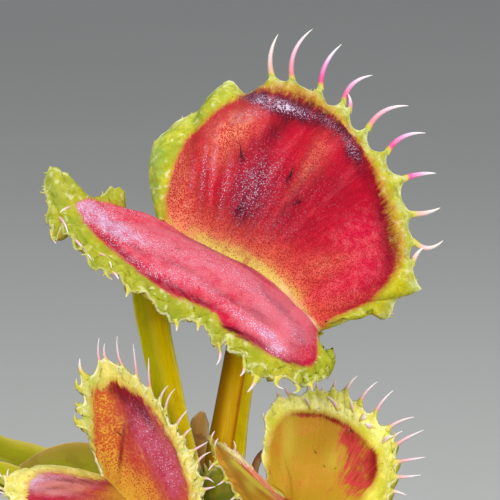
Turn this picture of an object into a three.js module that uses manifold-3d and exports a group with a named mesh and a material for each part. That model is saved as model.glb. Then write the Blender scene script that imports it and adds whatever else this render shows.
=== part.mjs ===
// A potted venus flytrap: eleven leaves, a young leaf and a dead stalk on one rhizome, in a round pot.
// Millimetres, +Z up. The origin is the middle of the pot's flat underside.
import * as THREE from "three";
import { mergeVertices } from "three/addons/utils/BufferGeometryUtils.js";
import Module from "manifold-3d";

const wasm = await Module();
wasm.setup();

// Pot: a plain tapered tub with a thick lip and drain holes.
const POT_HEIGHT = 70;
const POT_TOP_RADIUS = 38.4;
const POT_BASE_RADIUS = 28;
const POT_WALL = 1.6;
const POT_FLOOR = 2.2;
const LIP_HEIGHT = 9;
const LIP_STEP = 1.6;
const POT_SIDES = 32;
const DRAIN_RADIUS = 3.5;
const DRAIN_CIRCLE = 17;
const DRAIN_COUNT = 5;
const GAP = 0.3;

// Plant: its own frame has the crown, where the leaves spring, as origin, and leans back a little.
const CROWN_HEIGHT = 74.8;
const LEAN = THREE.MathUtils.degToRad(10);
const RHIZOME_TOP = -2.2;
const RHIZOME_RADIUS = 5.7;
const POCKET_RADIUS = 6.6;
const ROOT_RADIUS = 0.6;
const SOIL_BELOW_CROWN = 0.9;
const SOIL_DOME = 5;

const BLADE = 0.8;
const KEEL = 0.8;
const HAIR_RADIUS = 0.32;
const HAIR_SINK = 0.45;

const COLOURS = {
  pot: 0x2c2d2f,
  soil: 0x4a3a28,
  rhizome: 0xd8cfae,
  petiole: 0xa8972a,
  trap: 0xb23440,
  paleTrap: 0xb87a2a,
  youngLeaf: 0xa87a58,
  deadStalk: 0x7a4a26,
};

// Outlines in the plant's frame, as [right, back, up].
// The midrib runs from the leaf's neck to its tip, and each margin goes round its lobe the same way.
const LARGE_TRAP = {
  midrib: [
    [-4.7, 1, 32.3], [-2.1, 0, 31], [1.3, -1.5, 29.3], [4.9, -3, 27.5], [7.7, -4.3, 24.9],
    [10.2, -5.5, 22.3],
  ],
  upper: [
    [-4.8, 1.5, 33.1], [-5.7, 3, 35.3], [-6.2, 5, 38.1], [-5.9, 6, 40.8], [-4.2, 7, 42.8],
    [-1.3, 7.5, 44.6], [0, 7.5, 46.4], [1.8, 7.5, 47.5], [3.4, 7, 46.3], [5.2, 6.5, 47.3],
    [8, 6, 47.2], [10.8, 5.5, 46.3], [13.1, 5, 44.8], [15.2, 4, 42.5], [17.1, 3, 40.2],
    [18.7, 2, 37.4], [19.3, 1, 34.7], [19.9, 0, 31.4], [20, -1, 28.7], [20.3, -2, 26.4],
    [18.5, -2.5, 25.5], [17.6, -3, 23.7], [15.8, -3.5, 24.3], [13.3, -4, 23.2], [10.8, -5, 22.5],
  ],
  lower: [
    [-5.3, 1, 32.6], [-6.8, 1, 33.6], [-8.4, 0.5, 34.4], [-8.8, 1, 35.8], [-10.1, 0, 36.3],
    [-11.6, -1, 35.4], [-12.8, -2, 36.2], [-14.4, -2.5, 37.5], [-16, -3, 38], [-16.2, -5, 34.8],
    [-15.5, -7.5, 31.7], [-14.5, -8, 32.5], [-13.7, -9.5, 31.4], [-12.3, -10.5, 29.5],
    [-10.8, -11.6, 28.3], [-9.4, -12.3, 27.6], [-7.7, -13.2, 26.1], [-5.8, -13.5, 25.4],
    [-4, -13.5, 24.6], [-2.1, -13.5, 23.6], [-0.5, -14.5, 23.1], [0.6, -15.5, 21.7],
    [2.6, -17, 20.4], [4.3, -18.5, 18.2], [6, -18, 18.2], [8.7, -17, 17.6], [10.8, -15.5, 17.7],
    [11.9, -12, 18.9], [11.2, -9, 20.4], [10.5, -6.5, 21.8],
  ],
  upperBulge: 2.2,
  lowerBulge: 2.4,
  lowerPeak: 1.9,
  upperRim: -0.5,
  lowerRim: 0,
  steps: 34,
  across: 4,
};
const LEFT_TRAP = {
  midrib: [[-4, -16, 1.6], [-5.2, -14.8, 2.8], [-7, -12.5, 4.5], [-8.8, -10, 6.2], [-10.2, -8, 7.3]],
  upper: [
    [-3.1, -16, 2.1], [-1.8, -15, 3.5], [-1.1, -13.5, 5.4], [-1, -12.5, 7], [-1.3, -11.5, 8.5],
    [-1.9, -10.7, 10], [-2.6, -10, 11.3], [-3.4, -9.5, 12.5], [-4.3, -9, 14], [-5.3, -8.5, 15.4],
    [-6.6, -8, 16.9], [-8.1, -7.5, 18.1], [-9.6, -7, 18.9], [-10.9, -7, 18.5], [-11.9, -7, 17.3],
    [-12.5, -7, 15.7], [-12.3, -7, 13.7], [-12, -7, 11.5], [-11.4, -7.3, 9.6], [-10.5, -7.8, 7.8],
  ],
  lower: [
    [-4.4, -17.5, 1.1], [-6.1, -19.5, 0.7], [-8.9, -21, 0.9], [-12, -21.5, 1.6], [-15.1, -20.5, 2.7],
    [-17.3, -19, 4.1], [-18.8, -17, 5.7], [-19.4, -15, 7.1], [-19.2, -13.5, 8.3], [-18.2, -12, 8.9],
    [-16.5, -10.5, 8.7], [-14.6, -9.5, 8.3], [-12.2, -8.5, 7.9], [-10.6, -8, 7.5],
  ],
  upperBulge: -1.6,
  lowerBulge: 1.2,
  lowerPeak: 1,
  upperRim: 0,
  lowerRim: 0,
  steps: 20,
  across: 4,
};
const RIGHT_TRAP = {
  midrib: [[7.7, -6, 5.4], [9, -8.5, 4.5], [10.5, -11, 3.4], [11.9, -13, 2.3], [13.2, -15, 1.6]],
  upper: [
    [7.3, -5.8, 5.9], [5.9, -5.5, 7.1], [5.3, -5.2, 9], [5.3, -5, 10.6], [5.7, -5, 12.4],
    [5.6, -5, 13.6], [6.2, -5, 14.6], [7.4, -5, 15.4], [8.8, -5, 15.5], [10.3, -5, 16],
    [11.9, -5.2, 16.1], [13.4, -5.5, 15.7], [14.5, -6, 14.9], [15.7, -6.5, 14], [16.8, -7, 12.9],
    [17.5, -7.7, 11.8], [17.9, -8.5, 10.4], [17.9, -9.5, 8.9], [17.5, -10.5, 7.4],
    [17.2, -12, 5.9], [16.5, -13.5, 4.1], [15.1, -15, 2.5],
  ],
  lower: [
    [7.4, -6.3, 5.3], [6.1, -6.5, 6.8], [4.5, -7, 8.4], [2.9, -7.5, 9.8], [1.5, -8.3, 10.9],
    [0, -9, 12], [-0.2, -10, 11.7], [0.6, -11.5, 10.3], [1.4, -13, 8.9], [2.2, -14.5, 7.5],
    [3.2, -16, 5.9], [4.7, -17.5, 4.2], [6.8, -18.5, 2.5], [9.1, -18.5, 1.4], [11.6, -17, 1],
  ],
  upperBulge: -1.8,
  lowerBulge: -1.2,
  lowerPeak: 1,
  upperRim: 0.9,
  lowerRim: 0,
  steps: 20,
  across: 4,
};

// Cilia of the three fitted traps, as [root right, root up, tip right, tip up, sideways bow].
// Each root moves to the nearest point of its margin.
const LARGE_UPPER_CILIA = [
  [6.4, 46.9, 6.8, 51.9, 0.5], [8.4, 46.8, 10.3, 52.7, 0.9], [10.9, 45.6, 13, 50.7, 0.6],
  [13.3, 44.5, 16.3, 48, 0.8], [13.9, 43.9, 13.9, 46, -0.2], [15.7, 42.1, 20.1, 45, 0.8],
  [17.4, 39.6, 21.6, 42.1, 0.7], [19.2, 37.2, 23, 38, 0.2], [20, 33.9, 23.5, 34.5, -0.2],
  [20, 31.4, 23.3, 31.1, -0.7], [20.2, 28.4, 21.4, 30.5, 0.2],
];
const LARGE_LOWER_CILIA = [
  [-16.1, 31.9, -15.6, 30.9, -0.1], [-9.9, 27.6, -9.3, 27, -0.1], [-8.4, 26.2, -8.6, 25.4, 0.1],
  [-3.3, 23.9, -3.3, 22.8, 0.1], [-1.3, 23, -1.3, 22.2, 0.1], [0.8, 21.3, 0.7, 19.2, 0.4],
  [3.2, 19.7, 2.9, 18.2, 0.3], [4.4, 17.5, 3.4, 16, 0.1], [6.7, 17.5, 7.2, 16.4, -0.5],
  [8.3, 17.2, 7.9, 16.4, 0.4], [9.9, 17.1, 10.1, 16.4, 0.1],
];
const LEFT_UPPER_CILIA = [
  [-11.9, 17.3, -12.8, 19.6, 0.3], [-12.3, 16.6, -13.3, 17.6, 0.4], [-12.7, 15, -13.7, 15.4, 0.2],
  [-12.8, 13.2, -13.8, 14.1, 0.4], [-10.8, 18.8, -11, 21.8, 0.2], [-10, 18.9, -10.4, 21, 0.2],
  [-8.5, 17.9, -9.3, 21.4, 0.3], [-7.3, 17, -7.7, 20.7, 0], [-6.1, 15.8, -6.3, 19.4, 0.1],
  [-5.2, 14.9, -4.3, 16.9, 0.2], [-4.5, 14, -3.6, 16.6, 0.3], [-3.7, 12.5, -2.4, 14.5, 0.1],
  [-3, 11.4, -2, 12.6, 0.1], [-2.4, 10.1, -0.4, 11.3, 0], [-1.9, 9, -0.3, 10.5, 0.2],
  [-1.4, 7.7, 0.1, 7.5, 0.3], [-1.2, 6.8, 0.4, 7.2, 0], [-1.2, 5.5, 0.4, 5.7, 0.2],
];
const LEFT_LOWER_CILIA = [
  [-19.9, 7.8, -20.8, 8.9, 0.1], [-19.9, 7.8, -19.9, 9.2, 0.1], [-20.1, 6.8, -21.3, 7.5, 0.1],
  [-20.1, 6, -21.3, 6.6, -0.1], [-19.8, 5, -21.1, 5.4, -0.2], [-19.1, 4, -20.5, 4.2, -0.2],
  [-18.1, 2.8, -19.7, 2.8, -0.2], [-16.6, 1.8, -18.1, 1.2, -0.1], [-14.6, 1, -15.9, 0, -0.1],
  [-12, 0.6, -12.8, -0.8, -0.1], [-9.4, 0.2, -9.8, -1.3, -0.1],
];
const RIGHT_UPPER_CILIA = [
  [5.7, 13.4, 5.5, 14.3, 0.1], [7, 15, 6.6, 16.3, 0], [8.6, 15.3, 7.6, 16.9, 0.3],
  [9.9, 15.7, 9.8, 17, 0.2], [10.7, 15.8, 10.8, 17.2, 0.1], [12, 15.9, 12.3, 17.4, 0],
  [13.1, 15.7, 14.4, 17.7, 0.2], [14.5, 14.9, 16.4, 17.3, 0.2], [16, 13.8, 18, 16.5, 0.2],
  [17.1, 12.6, 20, 14, 0.2], [17.8, 11.5, 19, 12.5, 0.1], [18, 10.8, 21.2, 12.6, 0.1],
  [18.3, 9.3, 21.6, 9.9, 0], [18.2, 8.2, 21.2, 8.4, -0.1], [18, 6.7, 19.9, 6.3, 0.1],
  [17.7, 5.4, 19.7, 4.8, 0], [17, 3.6, 18.8, 2.8, 0],
];
const RIGHT_LOWER_CILIA = [
  [0.1, 11.5, 0.5, 12.6, 0.1], [0.8, 10.9, 1.2, 12, 0.1], [1.7, 10.3, 1.3, 11.2, -0.1],
  [2.2, 9.7, 2.2, 11, -0.2], [0.3, 9.7, -0.6, 8.8, -0.1], [1.1, 8.2, 0.1, 7.4, 0.1],
  [2.2, 6.4, 1.2, 5.6, 0], [3.4, 4.8, 2.3, 4, 0], [5, 3.3, 4.1, 2.3, 0], [7.2, 2, 6.5, 0.7, 0],
];

// The other traps, each from its neck: a direction for the midrib and one for the mouth.
const PLAIN_TRAPS = {
  small: {
    neck: [-1, -5.3, 2.7], along: [1, 0.03, 0.03], mouth: [0, 0.05, 1],
    length: 5.2, height: 5.2, halfAngle: 11, bulge: -0.5, cilia: 7, reach: 1.6,
  },
  rear: {
    neck: [5.3, 10.2, 29.8], along: [0.35, 0.2, 0.9], mouth: [-0.6, 0.7, 0.2],
    length: 14, height: 7, halfAngle: 38, bulge: 0.9, cilia: 9, reach: 2.6,
  },
  farLeft: {
    neck: [-27.3, 7.8, 13.7], along: [-0.35, 0, 0.93], mouth: [-0.5, -0.7, -0.2],
    length: 13, height: 7, halfAngle: 40, bulge: 0.9, cilia: 8, reach: 2.4,
  },
  winged: {
    neck: [-25.2, 2.2, 5.2], along: [-0.97, -0.15, 0.05], mouth: [0, 0.05, 1],
    length: 10, height: 5, halfAngle: 34, bulge: 0.6, cilia: 7, reach: 2,
  },
  nearLeft: {
    neck: [-26.3, -4.5, 10.5], along: [-0.75, -0.4, 0.5], mouth: [0, -0.7, 0.6],
    length: 11, height: 6, halfAngle: 36, bulge: 0.8, cilia: 7, reach: 2.2,
  },
  farRight: {
    neck: [24.9, 11.5, -0.2], along: [0.85, 0.4, -0.04], mouth: [0, 0, 1],
    length: 11, height: 6, halfAngle: 56, bulge: 0.8, cilia: 7, reach: 1.8,
  },
  front: {
    neck: [9.1, -26.6, -1.3], along: [0.2, -0.95, 0.05], mouth: [0, 0, 1],
    length: 11, height: 7, halfAngle: 46, bulge: 0.8, cilia: 7, reach: 2.2,
  },
  back: {
    neck: [11.2, 14.4, 8.1], along: [0.1, 0.15, 0.95], mouth: [0.1, 0.8, 0],
    length: 6, height: 4, halfAngle: 30, bulge: 0.4, cilia: 6, reach: 1.2,
  },
};

// Petioles as stations [right, back, up, half width], each with the direction of its width.
const PETIOLES = {
  large: {
    width: [1, 0, 0],
    rib: 1.7,
    path: [
      [-1.2, -1.6, -1.9, 1.6], [-1.5, -1.6, 3, 1.75], [-2.9, -1.2, 9.2, 1.7], [-3.85, -0.6, 13.2, 1.62],
      [-4.6, 0, 17.2, 1.57], [-5.5, 0.8, 21.2, 1.6], [-6.1, 1.5, 25.2, 1.8], [-6.3, 2.1, 28, 1.5],
      [-5.9, 2.5, 30, 0.9], [-5.2, 2.5, 31.3, 0.55],
    ],
  },
  rear: {
    width: [1, 0, 0],
    rib: 1.7,
    path: [
      [0.6, 1.5, -1.9, 1.6], [0.5, 1.6, 3, 2], [1.4, 2, 9.4, 2], [1.95, 2.6, 13.2, 1.8],
      [2.6, 3.4, 17.2, 1.7], [3, 4.8, 20.6, 1.45], [3.9, 7.4, 25.4, 1.1], [4.9, 9.6, 28.8, 0.55],
    ],
  },
  left: {
    width: [1, 0, 0.1],
    rib: 1.2,
    path: [
      [-2.5, -3.8, -1.9, 0.8], [-2.7, -4.6, -0.5, 0.9], [-2.6, -8.5, -0.8, 1.4], [-2.6, -13, -1.8, 1.3],
      [-3.2, -16.2, -1.4, 0.8], [-3.8, -17, 0, 0.5],
    ],
  },
  right: {
    width: [0.5, -0.85, 0.1],
    rib: 1.2,
    path: [
      [3.6, -2.7, -1.9, 0.8], [4.1, -3.1, 0.2, 1.1], [5.4, -3.7, 2.2, 1.2], [6.5, -4.2, 3.7, 0.8],
      [7.1, -4.9, 4.4, 0.5],
    ],
  },
  small: {
    width: [1, 0, 0],
    rib: 1,
    path: [[-0.3, -4.5, -1.9, 0.7], [-0.4, -4.7, -0.2, 0.7], [-1, -5, 1.2, 0.6], [-1.4, -5.2, 2.1, 0.45]],
  },
  farLeft: {
    width: [0.2, 0.6, 0.77],
    rib: 1.3,
    path: [
      [-3.1, 3.2, -1.9, 0.8], [-3.8, 4, 0.8, 0.9], [-9, 7.3, 5.2, 1.5], [-16, 8.6, 8.2, 1.7],
      [-21.5, 8.2, 10, 1.5], [-26.6, 7.8, 12.9, 0.55],
    ],
  },
  winged: {
    width: [-0.1, 0.5, 0.86],
    rib: 1.2,
    path: [
      [-4.3, 1.5, -1.9, 0.8], [-5, 2, 0.8, 1.1], [-8, 3.4, 4, 2.8], [-12.5, 4.2, 7, 4.1],
      [-16, 4, 7.5, 3.2], [-19.5, 3.2, 7, 1.3], [-24, 2.4, 5.5, 0.6],
    ],
  },
  nearLeft: {
    width: [0, 0.75, 0.66],
    rib: 1.2,
    path: [
      [-4.3, -1.4, -1.9, 0.8], [-5, -1.6, 0.4, 1], [-9, -1.3, 3, 1.3], [-14, -1.6, 5.2, 1.5],
      [-18, -2.5, 7, 1.6], [-22, -3.5, 8.6, 1.3], [-25.2, -4.2, 9.8, 0.6],
    ],
  },
  farRight: {
    width: [-0.4, 0.9, 0.2],
    rib: 1.2,
    path: [
      [4.5, 0.7, -1.9, 0.8], [5.2, 1, 0, 1.1], [9.5, 3.6, 1.1, 1.9], [16, 7, 0.8, 2.4],
      [21, 9.6, 0.3, 1.3], [23.9, 11, 0.2, 0.6],
    ],
  },
  front: {
    width: [1, 0.2, 0],
    rib: 1.2,
    path: [
      [2, -4.1, -1.9, 0.8], [2.4, -5, -0.6, 1], [4.2, -10, -1.2, 1.7], [6.6, -17, -2.4, 2.4],
      [8.4, -22.5, -2.2, 1.5], [8.9, -25.8, -1.5, 0.6],
    ],
  },
  back: {
    width: [0.8, -0.6, 0],
    rib: 1.2,
    path: [
      [2.9, 3.6, -1.9, 0.8], [3.4, 4.4, 0.6, 1], [6, 8.4, 3.4, 1.3], [9, 12, 5.4, 1.1],
      [10.9, 14.1, 7.2, 0.5],
    ],
  },
};

const YOUNG_LEAF = {
  width: [1, 0, 0],
  rib: 0.9,
  path: [
    [-0.9, 4.5, -1.9, 0.6], [-0.9, 4.9, 3, 0.6], [-1, 5.1, 8.4, 0.5], [-1.2, 5.2, 11, 0.95],
    [-1.2, 5.2, 12.6, 0.95], [-0.9, 5.1, 13.8, 0.3],
  ],
};
const DEAD_STALK = {
  width: [0.3, 0, -1],
  rib: 0.7,
  path: [
    [4.1, 2.5, -1.9, 0.4], [4.6, 2.6, 3, 0.45], [4.4, 2.4, 8.2, 0.4], [5, 2.1, 9.5, 0.4],
    [6.4, 1.8, 10.5, 0.35],
  ],
};
const ROOTS = [
  [[0, 0, -12], [3, 2, -18], [9, 5, -28], [12, 9, -42]],
  [[1, 1, -12], [-2, 5, -17], [-4, 12, -27], [-9, 15, -38]],
  [[-1, 0, -12], [-5, -1, -18], [-12, -2, -26], [-16, 2, -40]],
  [[1, -1, -12], [3, -5, -18], [4, -12, -28], [-2, -17, -38]],
];

const vec = (p) => new THREE.Vector3(p[0], p[1], p[2]);

// A seeded draw between 0 and 1.
let seed = 7;
function draw() {
  seed = (seed * 16807) % 2147483647;
  return seed / 2147483647;
}

// A solid for joining and cutting, from any closed geometry.
function solid(geometry) {
  const bare = new THREE.BufferGeometry();
  const flat = geometry.index ? geometry.toNonIndexed() : geometry;
  bare.setAttribute("position", flat.getAttribute("position"));
  const merged = mergeVertices(bare, 1e-4);
  return new wasm.Manifold(
    new wasm.Mesh({
      numProp: 3,
      vertProperties: new Float32Array(merged.attributes.position.array),
      triVerts: new Uint32Array(merged.index.array),
    }),
  );
}

function geometryOf(made) {
  const mesh = made.getMesh();
  const geometry = new THREE.BufferGeometry();
  geometry.setAttribute("position", new THREE.BufferAttribute(new Float32Array(mesh.vertProperties), 3));
  geometry.setIndex(new THREE.BufferAttribute(new Uint32Array(mesh.triVerts), 1));
  geometry.computeVertexNormals();
  return geometry;
}

function meshOf(name, geometry, colour, roughness) {
  const material = new THREE.MeshStandardMaterial({ color: colour, roughness, metalness: 0 });
  const mesh = new THREE.Mesh(geometry, material);
  mesh.name = name;
  return mesh;
}

function indexed(points, faces) {
  const geometry = new THREE.BufferGeometry();
  geometry.setAttribute(
    "position",
    new THREE.Float32BufferAttribute(points.flatMap((p) => [p.x, p.y, p.z]), 3),
  );
  geometry.setIndex(faces.flat());
  return geometry;
}

// A closed skin over a row of rings with equal counts, with a fan at each end.
function loft(rings) {
  const count = rings[0].length;
  const points = rings.flat();
  const faces = [];
  const middle = (ring) =>
    ring.reduce((sum, p) => sum.add(p), new THREE.Vector3()).divideScalar(count);
  const first = points.push(middle(rings[0])) - 1;
  const last = points.push(middle(rings.at(-1))) - 1;
  for (let k = 0; k < count; k++) {
    const next = (k + 1) % count;
    for (let r = 0; r + 1 < rings.length; r++) {
      const a = r * count + k;
      const b = r * count + next;
      faces.push([a, b, b + count], [a, b + count, a + count]);
    }
    const end = (rings.length - 1) * count;
    faces.push([first, next, k], [last, end + k, end + next]);
  }
  return indexed(points, faces);
}

const smooth = (points) =>
  new THREE.CatmullRomCurve3(points.map(vec), false, "centripetal");

// A strap along a path: thick at its rib, blade-thin at its two edges.
function strap({ path, width, rib }, rings, edge = BLADE) {
  const curve = smooth(path);
  const widths = smooth(path.map((p) => [p[3], 0, 0]));
  const sideways = vec(width);
  const section = [
    [1, edge / 2], [0.4, rib * 0.45], [-0.4, rib * 0.45], [-1, edge / 2],
    [-1, -edge / 2], [-0.4, -rib * 0.5], [0.4, -rib * 0.5], [1, -edge / 2],
  ];
  const all = [];
  for (let i = 0; i <= rings; i++) {
    const t = i / rings;
    const centre = curve.getPoint(t);
    const tangent = curve.getTangent(t);
    const side = sideways.clone().addScaledVector(tangent, -sideways.dot(tangent)).normalize();
    const face = new THREE.Vector3().crossVectors(tangent, side);
    const half = widths.getPoint(t).x;
    const slim = Math.min(1, half / (rib * 0.5));
    all.push(
      section.map(([a, b]) =>
        centre.clone().addScaledVector(side, a * half).addScaledVector(face, b * slim),
      ),
    );
  }
  return loft(all);
}

// A round tapering hair from root to tip, bowed at its middle.
function hair(root, tip, bow, radius) {
  const middle = root.clone().add(tip).multiplyScalar(0.5).addScaledVector(bow, 2);
  const curve = new THREE.QuadraticBezierCurve3(root, middle, tip);
  const rings = [0, 0.5, 1].map((t) => {
    const tangent = curve.getTangent(t);
    const across = new THREE.Vector3(tangent.y, tangent.z, tangent.x).cross(tangent).normalize();
    const other = new THREE.Vector3().crossVectors(tangent, across);
    const r = radius * (1 - 0.9 * t);
    return [0, 1, 2].map((k) =>
      curve.getPoint(t)
        .addScaledVector(across, r * Math.cos((k * Math.PI * 2) / 3))
        .addScaledVector(other, r * Math.sin((k * Math.PI * 2) / 3)),
    );
  });
  return loft(rings);
}

// Rows of one lobe from midrib to margin. It bulges along facing, and its last fifth bends by rim.
function lobeRows(midrib, margin, facing, bulge, rim, across, peak = 1) {
  return midrib.map((root, i) => {
    const u = i / (midrib.length - 1);
    const swell = Math.sin(Math.PI * u ** peak) ** 0.7;
    return Array.from({ length: across + 1 }, (_, j) => {
      const v = Math.sin((j / across) * Math.PI * 0.5) ** 0.9;
      const lift = bulge * 4 * v * (1 - v) + rim * Math.max(0, (v - 0.78) / 0.22) ** 2;
      return root.clone().lerp(margin[i], v).addScaledVector(facing, lift * Math.max(0, swell));
    });
  });
}

// A blade over a grid of points, split alike on both faces, with a keel on the back of its middle.
function bladeOf(grid) {
  const rows = grid.length;
  const columns = grid[0].length;
  const middle = (columns - 1) / 2;
  const at = (i, j) => grid[Math.min(rows - 1, Math.max(0, i))][Math.min(columns - 1, Math.max(0, j))];
  const faces = [];
  const tops = [];
  const bottoms = [];
  for (let i = 0; i < rows; i++)
    for (let j = 0; j < columns; j++) {
      const down = at(i + 1, j).clone().sub(at(i - 1, j));
      const over = at(i, j + 1).clone().sub(at(i, j - 1));
      const normal = down.cross(over).normalize();
      tops.push(at(i, j).clone().addScaledVector(normal, BLADE / 2));
      const depth = j === middle ? BLADE / 2 + KEEL : BLADE / 2;
      bottoms.push(at(i, j).clone().addScaledVector(normal, -depth));
    }
  const under = rows * columns;
  const wall = (a, b) => faces.push([a, a + under, b + under], [a, b + under, b]);
  for (let i = 0; i + 1 < rows; i++)
    for (let j = 0; j + 1 < columns; j++) {
      const a = i * columns + j;
      const b = a + columns;
      faces.push([a, b, b + 1], [a, b + 1, a + 1]);
      faces.push([a + under, b + 1 + under, b + under], [a + under, a + 1 + under, b + 1 + under]);
    }
  for (let i = 0; i + 1 < rows; i++) {
    wall(i * columns, (i + 1) * columns);
    wall((i + 2) * columns - 1, (i + 1) * columns - 1);
  }
  for (let j = 0; j + 1 < columns; j++) {
    wall((rows - 1) * columns + j, (rows - 1) * columns + j + 1);
    wall(j + 1, j);
  }
  return indexed([...tops, ...bottoms], faces);
}

// Both lobes as one blade, with the cilia sunk into its edge. A hollow that this seals is filled.
function fusedTrap(lower, upper, cilia) {
  const sheet = lower.map((row, i) => [...row.slice(1).reverse(), ...upper[i]]);
  const fused = cilia.reduce((whole, piece) => whole.add(solid(piece)), solid(bladeOf(sheet)));
  return fused.decompose().reduce((best, body) => (body.volume() > best.volume() ? body : best));
}

// Points along a curve, closer together towards both ends.
function easedPoints(curve, steps) {
  return Array.from({ length: steps + 1 }, (_, i) =>
    curve.getPointAt(0.5 - 0.5 * Math.cos((Math.PI * i) / steps)),
  );
}

// Cilia given by root and tip in the front view, each rooted in the nearest part of the margin.
function placedCilia(rows, list, reach) {
  const spots = rows.slice(1).flatMap((row, i) =>
    [0, 0.25, 0.5, 0.75].map((f) => {
      const edge = rows[i].at(-1).clone().lerp(row.at(-1), f);
      return { edge, inward: rows[i].at(-2).clone().lerp(row.at(-2), f).sub(edge).normalize() };
    }),
  );
  return list.map(([x0, z0, x1, z1, bow]) => {
    const off = ({ edge }) => Math.hypot(edge.x - x0, edge.z - z0);
    const { edge, inward } = spots.reduce((best, other) => (off(other) < off(best) ? other : best));
    const tip = edge.clone().add(new THREE.Vector3(x1 - x0, reach, z1 - z0));
    const root = edge.clone().addScaledVector(inward, HAIR_SINK);
    const aside = new THREE.Vector3(z0 - z1, 0, x1 - x0).normalize().multiplyScalar(bow);
    return hair(root, tip, aside, HAIR_RADIUS);
  });
}

function fittedTrap(shape, upperCilia, lowerCilia) {
  const midrib = easedPoints(smooth(shape.midrib), shape.steps);
  const margins = [shape.upper, shape.lower].map((m) => smooth(m).getSpacedPoints(shape.steps));
  const run = midrib.at(-1).clone().sub(midrib[0]);
  const middles = margins.map((m) =>
    m.reduce((sum, p) => sum.add(p), new THREE.Vector3()).divideScalar(m.length).sub(midrib[0]),
  );
  const facings = middles.map((m) => new THREE.Vector3().crossVectors(run, m).normalize());
  if (facings[0].y > 0) facings[0].negate();
  if (facings[1].z < 0) facings[1].negate();
  const upper = lobeRows(
    midrib, margins[0], facings[0], shape.upperBulge, shape.upperRim, shape.across,
  );
  const lower = lobeRows(
    midrib, margins[1], facings[1], shape.lowerBulge, shape.lowerRim, shape.across, shape.lowerPeak,
  );
  const cilia = [...placedCilia(upper, upperCilia, -0.4), ...placedCilia(lower, lowerCilia, -0.3)];
  return fusedTrap(lower, upper, cilia);
}

// A trap from its neck: two rounded lobes that stand half the mouth's angle either side of it.
function plainTrap({ neck, along, mouth, length, height, halfAngle, bulge, cilia, reach }) {
  const steps = 12;
  const forward = vec(along).normalize();
  const side = new THREE.Vector3().crossVectors(vec(mouth), forward).normalize();
  const up = new THREE.Vector3().crossVectors(forward, side);
  const open = THREE.MathUtils.degToRad(halfAngle);
  const place = (x, y, z) =>
    vec(neck).addScaledVector(forward, x).addScaledVector(side, y).addScaledVector(up, z);
  const turns = Array.from({ length: steps + 1 }, (_, i) => (Math.PI * i) / steps);
  const midrib = turns.map((a) => place(length * (0.5 - 0.5 * Math.cos(a)), 0, 0.06 * length * Math.sin(a)));
  const hairs = [];
  const [lower, upper] = [-1, 1].map((s) => {
    const margin = turns.map((a) => {
      const far = 0.7 + height * Math.max(0, Math.sin(a)) ** 0.75;
      return place(length * (0.5 - 0.58 * Math.cos(a)), s * far * Math.sin(open), far * Math.cos(open));
    });
    const facing = side.clone().multiplyScalar(-s * Math.cos(open)).addScaledVector(up, Math.sin(open));
    const rows = lobeRows(midrib, margin, facing, bulge, 0, 3);
    for (let k = 0; k < cilia; k++) {
      const u = 0.12 + (0.76 * (k + 0.5 + 0.25 * s)) / cilia;
      const row = rows[Math.round(u * steps)];
      const out = row.at(-1).clone().sub(row.at(-2)).normalize();
      const long = reach * (0.6 + 0.4 * Math.sin(Math.PI * u)) * (0.85 + 0.3 * draw());
      const tip = row.at(-1).clone().addScaledVector(out, long).addScaledVector(forward, long * (u - 0.5));
      const root = row.at(-1).clone().addScaledVector(out, -HAIR_SINK);
      hairs.push(hair(root, tip, facing.clone().multiplyScalar(-0.12 * long), HAIR_RADIUS));
    }
    return rows;
  });
  return fusedTrap(lower, upper, hairs);
}

// A ring-shaped or full solid of revolution about +Z, from [radius, height] pairs.
function turned(profile, sides = POT_SIDES) {
  const geometry = new THREE.LatheGeometry(profile.map(([r, z]) => new THREE.Vector2(r, z)), sides);
  return geometry.rotateX(Math.PI / 2);
}

const potRadius = (z) => POT_BASE_RADIUS + ((POT_TOP_RADIUS - POT_BASE_RADIUS) * z) / POT_HEIGHT;

function potSolid() {
  const lipFoot = POT_HEIGHT - LIP_HEIGHT;
  const inner = POT_TOP_RADIUS - POT_WALL;
  const body = solid(
    turned([
      [0, 0],
      [POT_BASE_RADIUS - 0.8, 0],
      [POT_BASE_RADIUS, 0.8],
      [potRadius(lipFoot), lipFoot],
      [potRadius(lipFoot) + LIP_STEP, lipFoot + 0.6],
      [POT_TOP_RADIUS + LIP_STEP - 0.4, POT_HEIGHT - 1],
      [POT_TOP_RADIUS + LIP_STEP - 0.9, POT_HEIGHT - 0.2],
      [POT_TOP_RADIUS + LIP_STEP - 1.6, POT_HEIGHT],
      [inner + 0.7, POT_HEIGHT],
      [inner, POT_HEIGHT - 0.7],
      [potRadius(POT_FLOOR) - POT_WALL, POT_FLOOR],
      [0, POT_FLOOR],
    ]),
  );
  return Array.from({ length: DRAIN_COUNT }, (_, k) => {
    const turn = (2 * Math.PI * k) / DRAIN_COUNT;
    const drill = new THREE.CylinderGeometry(DRAIN_RADIUS, DRAIN_RADIUS, 4 * POT_FLOOR, 20);
    drill.rotateX(Math.PI / 2);
    return drill.translate(DRAIN_CIRCLE * Math.cos(turn), DRAIN_CIRCLE * Math.sin(turn), 0);
  }).reduce((whole, drill) => whole.subtract(solid(drill)), body);
}

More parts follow.
